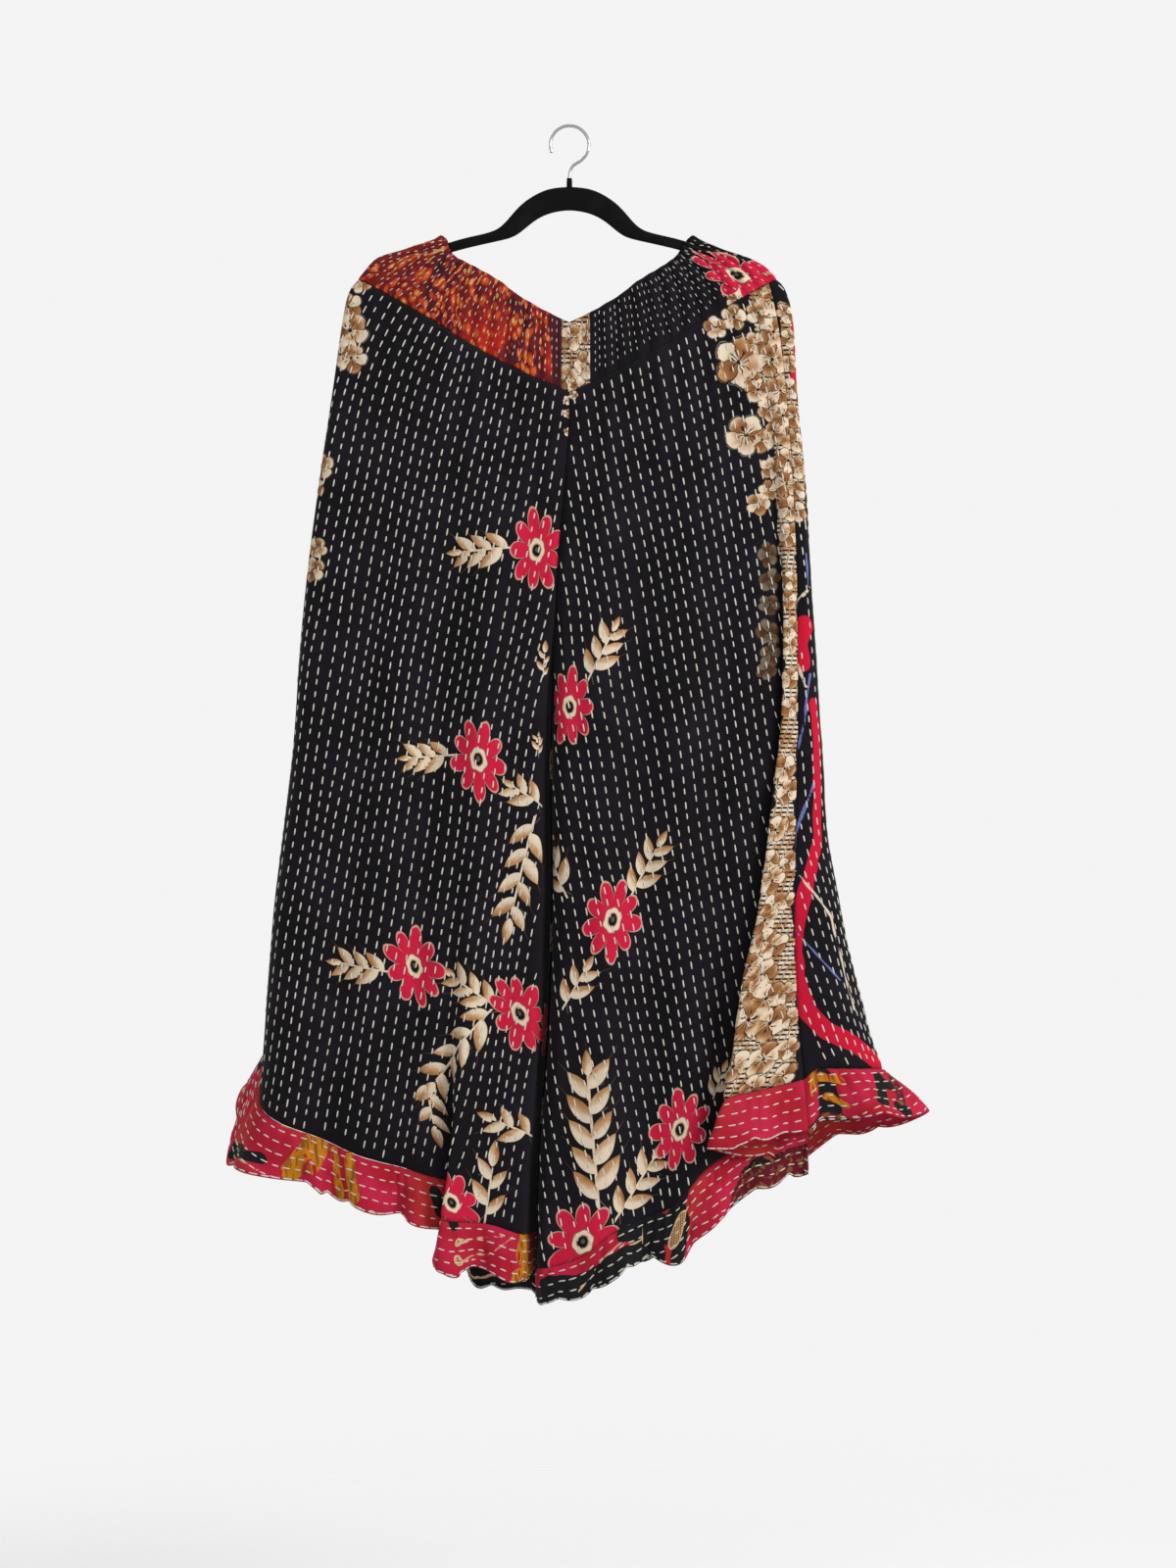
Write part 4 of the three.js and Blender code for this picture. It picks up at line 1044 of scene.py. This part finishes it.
def band_panel(pieces, rows, seed):
    """A grid of waistband from runs of (leg, places), its shirring and its casing rows."""
    v = np.linspace(0, 1, rows)
    runs = [
        band_points(leg, *np.broadcast_arrays(places[:, None], v[None, :]))
        for leg, places in pieces
    ]
    at, drop = (np.concatenate(r) for r in zip(*runs))
    side = "left" if np.argmin(at[:, 0, 0]) > np.argmax(at[:, 0, 0]) else "right"
    if (normals_of(at, side)[..., 1] * at[..., 1]).mean() < 0:
        side = "right" if side == "left" else "left"
    place = np.broadcast_to(lengths(at, 0)[:, rows // 2][:, None], drop.shape)
    lean = 0 if len(pieces) > 1 else 0.55
    slant = lean * (drop - drop[:, :1]) * np.clip(place / 160 - 0.1, 0, 1)
    row = (place - slant) / BAND_ROW_SPACING
    gap = edge_distance(at)
    shirr = 0.55 * np.sin(2 * math.pi * row) * (0.7 + 0.5 * unevenness(row / 3 + seed, drop / 30))
    channel = 0.7 * np.abs(np.sin(math.pi * (drop - value(BAND_TOP, "place", "drop", 0)) / 18))
    crumple = 0.8 * unevenness(place / 9 + seed, drop / 11)
    rise = (shirr + channel + crumple) * ease(0, 8, gap) - 0.8 * ridge(gap / 2.5)
    return raised(at, rise, side, place, drop, row)


def fleck_finish():
    """Leaf-like flecks, yellow in the middle and red at the rim, on dark maroon."""
    f = Finish("flecked_maroon_cotton")
    where, relief = weave_and_quilting(f, 2.0)
    _, drop, _ = f.attribute("cloth_place", 3)
    maroon, red = dye(66, 16, 27), dye(158, 30, 18)
    orange, yellow = dye(196, 84, 26), dye(214, 146, 72)
    swirl = f.noise(where, 22.0, 1.0, out="Color")
    bent = f.node("ShaderNodeVectorMath", {"operation": "SCALE"}, swirl, Scale=0.02)
    moved = f.node("ShaderNodeVectorMath", {"operation": "ADD"}, where, bent)
    turned = f.node(
        "ShaderNodeMapping", None, moved, (0, 0, 0), (0, 0, math.radians(35)), (1.0, 0.55, 1.0)
    )
    cells = f.node("ShaderNodeTexVoronoi", None, turned, Scale=185.0)
    own = Dyed(f, cells.socket.node.outputs["Color"])
    pick, pick2, _ = f.apart(own)
    dense = f.noise(where, 30.0, 1.0)
    size = 0.34 + 0.34 * pick
    fleck = (cells - size).under(0.0, 0.06) * (pick2 + dense).over(0.66, 0.12)
    heat = f.blend(red, orange, (1.0 - cells / size * 0.9).over(0.35, 0.25))
    heat = f.blend(heat, yellow, (pick2 * 0.8 - cells * 1.2).over(0.30, 0.15))
    bright = f.noise(where, 16.0, 2.0)
    ground = f.blend(maroon, dye(112, 22, 20), bright.over(0.46, 0.1))
    low = bright.over(0.5, 0.05) * drop.over(0.205, 0.03) * 0.75
    ground = f.blend(ground, dye(196, 30, 20), low)
    colour = f.blend(ground, heat, fleck)
    plain = f.attribute("border")
    colour = f.blend(colour, maroon, plain.under(0.0, 0.8))
    return f.finish(
        colour, relief, 0.8, strength=0.6, distance=0.0012, Sheen_Weight=0.03,
        Specular_IOR_Level=0.12,
    )


FLECKED = fleck_finish()
BAND_BLOSSOMS = {
    "waistband_front_patch": [
        (583, 345, 15), (600, 372, 17), (578, 385, 15), (592, 402, 13), (598, 340, 12),
    ],
    "waistband_front_right": [(780, 286, 15), (771, 302, 15), (794, 294, 13), (757, 314, 11)],
}
even = np.linspace
MIDDLE_DROP = 236.0  # of the waistband at the garment's middle
from_left = PATCH_LEFT / value(SIDE, "drop", "left", MIDDLE_DROP)
from_right = PATCH_RIGHT / value(SIDE, "drop", "right", MIDDLE_DROP)
BANDS = [
    # name, slot, material, runs of places, rows
    ("waistband_front_left", "orange_cotton", FLECKED, [("left", even(from_left, 1, 190))], 30),
    ("waistband_front_patch", "border_cotton", PRINTED_BLACK,
     [("left", even(from_left, 0, 9)[:-1]), ("right", even(0, from_right, 18))], 30),
    ("waistband_front_right", "black_cotton", PRINTED_BLACK,
     [("right", even(from_right, 1, 190))], 30),
    ("waistband_back", "black_cotton", PRINTED_BLACK,
     [("left", 2 - even(1, 0, 190)), ("right", 2 - even(0, 1, 190)[1:])], 28),
]
for k, (name, slot, material, runs, rows) in enumerate(BANDS):
    grid = band_panel(runs, rows, 7 * k)
    obj = cut_cloth(name, grid)
    none = np.full(grid["drop"].shape, UNPAINTED)
    flower = [motif(grid, 751, 280, 33, 28, 12, 3)] if name == "waistband_front_right" else []
    blossoms = [
        motif(grid, x, y, r, r, 50 * n, n)
        for n, (x, y, r) in enumerate(BAND_BLOSSOMS.get(name, []))
    ]
    ground = none
    if name == "waistband_front_patch":  # border all over
        ground = none - 200
    if name == "waistband_front_left":  # plain beside the patch
        ground = stroke(grid, (9, [(567, 325), (571, 400)]))
    print_on(obj, grid, flower, [], blossoms, [none] * 3, ground)
    thread = stitched(
        name + "_stitches", grid, rows_down(grid), 4.2, 4.8, seed=20 + k, half=0.45
    )
    dressed(name, grid, obj, material)


# Hem ruffles: strips pieced from crimson, mustard and black prints, gathered into the hem
# seam of each leg so that their feet wave, with rows of stitches along them.
# piece, leg, first and last station, waves, rise, phase, inner, outer, lean, bulge, columns
RUFFLES = [
    ("left_front", "left", 0, 1, 8, 7.5, 0.2, 46, 47, 21, 0, 250),
    ("left_back", "left", 1, 2, 7, 8, 1.9, 44, 47, 21, 16, 270),
    ("right_front", "right", 0, 0.7, 9, 6.5, 0.9, 34, 48, 0, 0, 250),
    ("right_back", "right", 0.7, 2, 9, 8, 2.6, 32, 47, 26, 0, 290),
]
RUFFLE_FLARE, RUFFLE_GAP, STEEPEST = 9, 0.7, 1.5
RUFFLE_ROWS = 20
RUFFLE_SEAM = {"left": 1, "right": 0.7}
RUFFLE_STITCH_ROWS = 11.0
LAP_WIDE = 0.07  # of the places where a ruffle follows the panel's lap or turns under


def ruffle_grid(piece, leg, first, last, waves, rise, phase, inner, outer, lean, bulge, columns):
    def hem(station):
        return value(HEM[leg], "station", "drop", station)

    def edge(station, below=0.0):
        return cloth(leg, station, hem(station) + below)

    dense = np.linspace(first, last, 3000)
    station = spaced(leg, dense, hem(dense), columns)
    along = np.linspace(0, 1, columns)[:, None]
    v = np.linspace(0, 1, RUFFLE_ROWS)[None, :]
    s = np.broadcast_to(station[:, None], (columns, RUFFLE_ROWS))
    near = from_inseam(s)

    def run(reach):
        return edge(np.minimum(s + reach, 2)) - edge(np.maximum(s - reach, 0))

    lap_at = LEFT_LAP[1] if leg == "left" else RIGHT_LAP[1]
    in_lap = np.where(s < 1, ridge((s - lap_at) / LAP_WIDE), 0)
    turned = ridge((s - 1.66) / LAP_WIDE) if piece == "left_back" else 0
    slope = run(0.01)
    length = np.linalg.norm(slope, axis=2)
    steep = length / np.maximum(np.hypot(slope[..., 0], slope[..., 1]), 0.3 * length)
    steep = np.convolve(np.pad(steep[:, 0], 8, "edge"), np.ones(17) / 17, "valid")
    steep = np.repeat(steep[:, None], RUFFLE_ROWS, 1)
    height = mix(inner, outer, ease(0.15, 0.45, near)) * mix(0.8, 1, ease(0, 0.08, near))
    height = height * mix(np.minimum(steep, STEEPEST), 1, np.maximum(in_lap, turned))
    height = height * (1 - 0.3 * turned)
    at = cloth(leg, s, hem(s) + RUFFLE_GAP * steep + height * v)
    normal = unit(np.cross(run(1e-3), edge(s, 0.1) - edge(s, -0.1)))
    normal = normal if leg == "left" else -normal
    joined = ease(0, 0.07, abs(s - RUFFLE_SEAM[leg]))
    free = ease(0.02, 0.2, near) * (1 - 0.75 * in_lap) * joined
    total = 2 * math.pi * waves
    wave = np.sin(total * along + phase) + 0.35 * np.sin(total * 0.43 * along + 2 * phase)
    out = RUFFLE_FLARE * v * ease(0.05, 0.5, near) + rise * free * wave * v**1.3
    beside = ridge((near - 0.93) / 0.05) * joined
    sign = -1 if leg == "left" else 1
    at[..., 0] += sign * v * (lean * ease(0.8, 1, near) + bulge * beside)
    at = at + normal * out[..., None]
    place, fall = lengths(at, 0)[:, :1] + 0 * v, lengths(at, 1)
    flat = 0 * place
    scallop = 5.5 * abs(np.sin(place / 15 + 2 * unevenness(place / 60, flat + phase))) - 3
    at[..., 2] -= v * joined * ease(0, 0.1, near) * scallop
    if piece == "right_front":  # the fold's corner stands away to the left
        at[..., 0] -= 11 * v * ridge((s - 0.6) / 0.03)
    tuck = np.sin(place / 2.1 + 4 * unevenness(place / 30, flat + phase))
    tuck = 1.7 * tuck * np.exp(-fall / 20) * (0.7 + 0.7 * unevenness(place / 17, flat + 7))
    crumple = 1.3 * unevenness(place / 12 + phase, fall / 14)
    crumple = crumple + 1.6 * unevenness(place / 9, fall / 60 + 4) * v
    gap = edge_distance(at)
    relief = (tuck + crumple) * ease(0, 6, gap) - 0.9 * ridge(gap / 2.5)
    return raised(at, relief, leg, place, fall, fall / RUFFLE_STITCH_ROWS + 0.5)


def hatching(f):
    """Fine crossed lines of the leaves printed on the ruffles."""
    place, drop, _ = f.attribute("cloth_place", 3)
    return (place * 2400.0).sum("SINE") | (drop * 2400.0).sum("SINE")


def pieced_finish():
    f = Finish("pieced_crimson_cotton")
    where, relief = weave_and_quilting(f)
    black, mustard, cream = f.attribute("painted", 3)
    lace = f.attribute("border")
    shade = f.noise(where, 24.0, 2.0)
    colour = f.blend(dye(168, 20, 40), dye(190, 30, 66), shade.over(0.5, 0.15))
    colour = f.blend(colour, dye(176, 44, 34), f.noise(where, 8.0, 1.0).over(0.52, 0.06) * 0.8)
    stretched = f.node("ShaderNodeMapping", None, where, (0, 0, 0), (0, 0, 0.5), (3.0, 0.7, 1.0))
    streak = f.noise(stretched, 60.0)
    gold = f.blend(dye(196, 122, 16), dye(122, 76, 20), streak.over(0.55, 0.06) * 0.8)
    gold = f.blend(gold, dye(170, 30, 40), streak.under(0.40, 0.03))
    colour = f.blend(colour, BLACK, black.under(0.0, 0.5))
    worn = f.noise(where, 150.0, 3.0)
    dark_red = f.blend(BLACK, dye(96, 14, 30), f.noise(where, 30.0).over(0.46, 0.05))
    laced = f.blend(dark_red, UMBER, worn.over(0.56, 0.03))
    colour = f.blend(colour, laced, lace.under(0.0, 1.0))
    colour = f.blend(colour, gold, mustard.under(0.0, 0.5))
    ruled = hatching(f).over(0.2, 0.2) * cream.under(-1.6, 0.4)
    colour = f.blend(colour, dye(206, 172, 126), cream.under(0.0, 0.4))
    colour = f.blend(colour, UMBER, ruled)
    roughness = 0.78 + 0.12 * f.noise(where, 60.0)
    return f.finish(
        colour, relief, roughness, strength=0.55, distance=0.0012, Sheen_Weight=0.03,
        Specular_IOR_Level=0.12,
    )


PIECED = pieced_finish()

# What is pieced or printed on each ruffle: black, mustard, cream lines, worn lace. Each stroke
# is a half width and the points that it follows.
PATCHES = {
    "left_front": [
        [
            (7, [(236, 1172), (246, 1174)]), (5, [(252, 1178), (266, 1182)]),
            (6, [(444, 1216), (450, 1236)]), (5, [(462, 1247), (463, 1250)]),
        ],
        [
            (1.5, [(288, 1149), (308, 1152)]), (8, [(322, 1162), (306, 1178), (296, 1196)]),
            (5, [(332, 1170), (318, 1194)]), (4.5, [(341, 1174), (343, 1196), (348, 1220)]),
            (5.5, [(356, 1182), (360, 1222)]), (10, [(538, 1264), (535, 1282)]),
            (9, [(550, 1272), (542, 1300), (530, 1302)]),
        ],
        [
            (0.8, [(240, 1160), (262, 1195)]), (0.9, [(470, 1267), (490, 1264), (512, 1263)]),
            (0.9, [(470, 1288), (500, 1280), (523, 1264)]), (2.4, [(466, 1268), (469, 1267)]),
            (4.0, [(466, 1286), (469, 1287)]),
        ],
        [],
    ],
    "left_back": [
        [(18, [(258, 1040), (262, 1062)]), (60, [(480, 1310), (620, 1310)])],
        [],
        [(5, [(262, 1030), (268, 1038)]), (1, [(475, 1296), (500, 1318)])],
        [],
    ],
    "right_front": [
        [
            (16, [(560, 1318), (600, 1312)]), (24, [(618, 1310), (640, 1296), (660, 1284)]),
            (12, [(640, 1255), (670, 1250), (688, 1256)]),
            (11, [(694, 1276), (698, 1256), (690, 1236), (694, 1222)]),
        ],
        [],
        [
            (0.9, [(590, 1318), (608, 1296)]),
            (1.1, [(612, 1288), (632, 1268), (642, 1270), (656, 1264)]),
            (0.8, [(655, 1252), (656, 1268)]), (8, [(694, 1244), (690, 1266)]),
        ],
        [(17, [(760, 1216), (790, 1196), (822, 1186)]), (9, [(764, 1196), (776, 1188)])],
    ],
    "right_back": [
        [
            (7, [(902, 1106), (914, 1112)]), (5, [(896, 1098), (900, 1124)]),
            (6, [(918, 1130), (926, 1134)]), (7, [(842, 1096), (846, 1150)]),
            (60, [(600, 1330), (700, 1290)]),
        ],
        [
            (5, [(838, 1100), (856, 1102)]), (3.5, [(846, 1118), (864, 1128)]),
            (4, [(828, 1094), (830, 1112)]),
        ],
        [],
        [(5, [(910, 1100), (920, 1124)]), (9, [(836, 1166), (850, 1160)])],
    ],
}
for k, (piece, leg, *shape) in enumerate(RUFFLES):
    grid = ruffle_grid(piece, leg, *shape)
    name = "ruffle_" + piece
    obj = cut_cloth(name, grid)
    painted = [stroke(grid, *p, wobble=1.0) for p in PATCHES[piece]]
    fall = grid["drop"]
    if piece != "left_front":  # black at the inseam
        place = grid["place"]
        in_front = piece == "right_front"
        from_end = place if in_front else place.max() - place
        wide, above = (52, 18) if in_front else (60, 0)
        painted[0] = np.minimum(painted[0], np.maximum(from_end - wide, above - fall))
    on_points(obj, "painted", *painted[:3])
    on_points(obj, "border", painted[3])
    i = np.arange(len(fall), dtype=float)
    paths = []
    for line in np.arange(6, fall.max() - 3, RUFFLE_STITCH_ROWS):
        j = np.array([np.interp(line, fall[c], np.arange(RUFFLE_ROWS)) for c in range(len(i))])
        paths.append((i, np.minimum(j, RUFFLE_ROWS - 1.6)))
    thread = stitched(name + "_stitches", grid, paths, 7.5, 4.5, seed=40 + k, half=0.75)
    behind_it = {**grid, "normal": -grid["normal"]}
    inner_thread = stitched(
        name + "_inner_stitches", behind_it, paths, 6.5, 5.5, 60 + k, PLY_IN, 0.75
    )
    dressed(name, grid, obj, PIECED)


# Hanger: a moulded plastic bar with rounded edges, covered in short black velvet flock so
# that cloth does not slide off it. It keeps the shape it has in the frame.
def flock_finish():
    f = Finish("black_velvet_flock")
    where = f.own_place()
    nap = f.noise(where, 1400.0, 3.0)
    rubbed = f.noise(where, 35.0, 2.0)
    colour = f.blend(dye(7, 7, 8), dye(22, 22, 24), rubbed.over(0.6, 0.15) * 0.6 + 0.3 * nap)
    return f.finish(
        colour, nap, 0.95, strength=0.5, distance=0.0006, Sheen_Weight=0.02, Specular_IOR_Level=0.1
    )


HANGER = table("out upper lower", [
    (0, -60.5, -84), (20, -62.5, -87.5), (36, -69.5, -95.5), (46, -76, -104), (54, -83.5, -110.5),
    (62, -93, -113.5), (71, -103.5, -115.5), (112, -114.5, -125), (151, -127, -137.5),
    (181, -137.5, -148.5), (197, -146, -157), (205, -155, -163),
])
HANGER_THICK = 6
TIP_FROM, TIP_LONG = 201, 4.2  # where the bar's ends start to round off, and how far they go
COLLAR = [  # radius and height
    (2.1, -63), (2.1, -52.5), (2.25, -52.1), (2.5, -52.1), (2.7, -52.6), (2.85, -56), (2.9, -63),
]


def hanger_bar():
    """Rounded sections along the arched bar."""
    edges = np.stack([HANGER["out"], HANGER["upper"], HANGER["lower"]], 1)
    middle = np.stack([edges[:, 0], edges[:, 1:].mean(1)], 1)
    rows = {"along": lengths(middle), **HANGER}
    way = np.linspace(0, rows["along"][-1], 90)
    window = np.hanning(15)

    def line(column, mirrored):
        """One edge over both arms, its corners softened."""
        c = value(rows, "along", column, way)
        c = np.concatenate([c[6:0:-1] * mirrored, c, 2 * c[-1] - c[-2:-8:-1]])
        c = np.convolve(c, window[1:-1] / window.sum(), "valid")
        return np.concatenate([mirrored * c[:0:-1], c])

    out, upper, lower = line("out", -1), line("upper", 1), line("lower", 1)
    turn = np.linspace(0, 2 * math.pi, 28, endpoint=False)
    c, s = np.cos(turn), np.sin(turn)
    across = np.sign(c) * abs(c) ** 0.55 * HANGER_THICK / 2
    rise = np.sign(s) * abs(s) ** 0.55
    rounding = 1 - np.clip((abs(out) - TIP_FROM) / TIP_LONG, 0, 1) ** 2
    ends = np.minimum(1, np.sqrt(np.maximum(0.02, rounding)))
    centre, half = (upper + lower) / 2, (upper - lower) / 2 * ends
    return np.stack(np.broadcast_arrays(
        out[:, None], across[None, :] * ends[:, None],
        centre[:, None] + half[:, None] * rise[None, :]), -1)


def rings_mesh(name, rings, closed=False):
    """A surface through rings of points; its two ends are filled, or joined when closed."""
    n, m = rings.shape[:2]
    i, j = np.meshgrid(np.arange(n if closed else n - 1), np.arange(m), indexing="ij")
    k, t = (i + 1) % n, (j + 1) % m
    faces = np.stack([i * m + j, i * m + t, k * m + t, k * m + j], -1).reshape(-1, 4).tolist()
    if not closed:
        faces += [list(range(m))[::-1], list(range((n - 1) * m, n * m))]
    return meshed(name, rings.reshape(-1, 3), faces)


hanger = rings_mesh("hanger_bar", hanger_bar())
turn = np.linspace(0, 2 * math.pi, 32, endpoint=False)[:, None]
radius, height = np.array(COLLAR).T
collar = rings_mesh("hanger_collar", np.stack(np.broadcast_arrays(
    radius * np.cos(turn), radius * np.sin(turn), height + 0 * turn), -1), closed=True)
flock = flock_finish()
for piece in (hanger, collar):
    fitted(piece, flock, "hanger")


# Hook: round plated steel wire bent into a bow, its end rounded off, its shank set in the
# hanger's collar.
HOOK_WIRE, HOOK_RADIUS, SHANK_END = 1.7, 18, -63.8


def hook_line():
    radius = HOOK_RADIUS + HOOK_WIRE
    bow = [
        (radius * math.cos(math.radians(a)), 0, radius * math.sin(math.radians(a)) - HOOK_RADIUS)
        for a in range(200, -55, -25)
    ]
    return np.array([*bow, (3, 0, -40), (0, 0, -48), (0, 0, SHANK_END)], float)


def smooth_line(points, each=10):
    """A centripetal spline through the points, as the wire is bent."""
    padded = np.concatenate([[2 * points[0] - points[1]], points, [2 * points[-1] - points[-2]]])
    line = []
    for a, b, c, d in zip(padded, padded[1:], padded[2:], padded[3:]):
        t0, t1 = 0.0, np.linalg.norm(b - a) ** 0.5
        t2 = t1 + np.linalg.norm(c - b) ** 0.5
        t3 = t2 + np.linalg.norm(d - c) ** 0.5
        for t in np.linspace(t1, t2, each, endpoint=False):
            ab = a * (t1 - t) / (t1 - t0) + b * (t - t0) / (t1 - t0)
            bc = b * (t2 - t) / (t2 - t1) + c * (t - t1) / (t2 - t1)
            cd = c * (t3 - t) / (t3 - t2) + d * (t - t2) / (t3 - t2)
            abc = ab * (t2 - t) / (t2 - t0) + bc * (t - t0) / (t2 - t0)
            bcd = bc * (t3 - t) / (t3 - t1) + cd * (t - t1) / (t3 - t1)
            line.append(abc * (t2 - t) / (t2 - t1) + bcd * (t - t1) / (t2 - t1))
    return np.array([*line, points[-1]])


def wire_rings(line, radius, sides=20):
    """Rings round a wire with domed ends, along a line in the hook's plane."""
    tangent = unit(np.gradient(line, axis=0))
    across = np.array([0.0, 1.0, 0.0])
    dome = [(1.0, 0.0), (0.8, 0.6), (0.45, 0.9)]
    rings = [(line[0] - tangent[0] * radius * a, tangent[0], radius * b) for a, b in dome]
    rings += [(p, t, radius) for p, t in zip(line, tangent)]
    foot = tangent[-1] * radius * 0.1  # its lower end is nearly flat, inside the collar
    rings += [(line[-1] + foot * a, tangent[-1], radius * b) for a, b in dome[::-1]]
    turn = np.linspace(0, 2 * math.pi, sides, endpoint=False)[:, None]
    return np.stack([
        centre + max(r, 0.02) * (np.cos(turn) * across + np.sin(turn) * np.cross(t, across))
        for centre, t, r in rings
    ])


def plated_finish():
    f = Finish("plated_steel_wire")
    drawn = f.noise(f.own_place(), 700.0, 2.0)
    colour = f.blend(dye(205, 206, 210), dye(182, 184, 190), drawn)
    return f.finish(colour, drawn, 0.16 + 0.1 * drawn, strength=0.1, distance=0.0002, Metallic=1.0)


hook = rings_mesh("hook_wire", wire_rings(smooth_line(hook_line()), HOOK_WIRE))
fitted(hook, plated_finish(), "hook")


# Studio: a plain pale floor, soft light from above on both sides, and a camera level with
# the middle of the garment.
PALE = 0.90
MIDDLE_HEIGHT = -0.67  # metres; the camera and the lamps are set to it
FLOOR_HEIGHT, FLOOR_REACH = -1.62, 1.3  # the floor fades out towards its edge
bpy.ops.mesh.primitive_circle_add(
    vertices=96, radius=FLOOR_REACH, fill_type="NGON", location=(0, 0, FLOOR_HEIGHT)
)
floor = bpy.context.object
floor.name = "floor"


def floor_finish():
    f = Finish("studio_floor")
    x, y, _ = f.apart(f.own_place())
    far = (x * x + y * y) ** 0.5
    grain = f.noise(f.together(x, y, 0.0), 40.0)
    colour = f.blend((0.62, 0.62, 0.62, 1), (0.60, 0.60, 0.60, 1), grain)
    return f.finish(colour, grain, 0.9, strength=0.02, Alpha=far.under(0.85, 0.4))


floor.data.materials.append(floor_finish())

bpy.context.scene.view_settings.view_transform = "Standard"
world = bpy.data.worlds.new("studio")
world.use_nodes = True
backdrop = world.node_tree.nodes["Background"].inputs
backdrop["Color"].default_value = (PALE, PALE, PALE, 1)
backdrop["Strength"].default_value = 1.0
bpy.context.scene.world = world


def lamp(name, place, size, power):
    data = bpy.data.lights.new(name, "AREA")
    data.size, data.energy = size, power
    obj = bpy.data.objects.new(name, data)
    obj.location = place
    towards = Vector((0.0, 0.0, MIDDLE_HEIGHT)) - Vector(place)
    obj.rotation_euler = towards.to_track_quat("-Z", "Y").to_euler()
    bpy.context.scene.collection.objects.link(obj)


lamp("key_light", (2.4, -1.6, 0.6), 1.1, 88)
lamp("fill_light", (-1.5, -2.6, 0.3), 1.8, 7)
lamp("back_light", (-0.6, 2.2, 0.8), 1.4, 30)

camera_data = bpy.data.cameras.new("camera")
camera_data.sensor_width, camera_data.lens = 36, 58.5
camera_data.clip_end = 50
camera = bpy.data.objects.new("camera", camera_data)
camera.location = (0.019, -2.6, MIDDLE_HEIGHT)
camera.rotation_euler = (math.pi / 2, 0, 0)
bpy.context.scene.collection.objects.link(camera)
bpy.context.scene.camera = camera
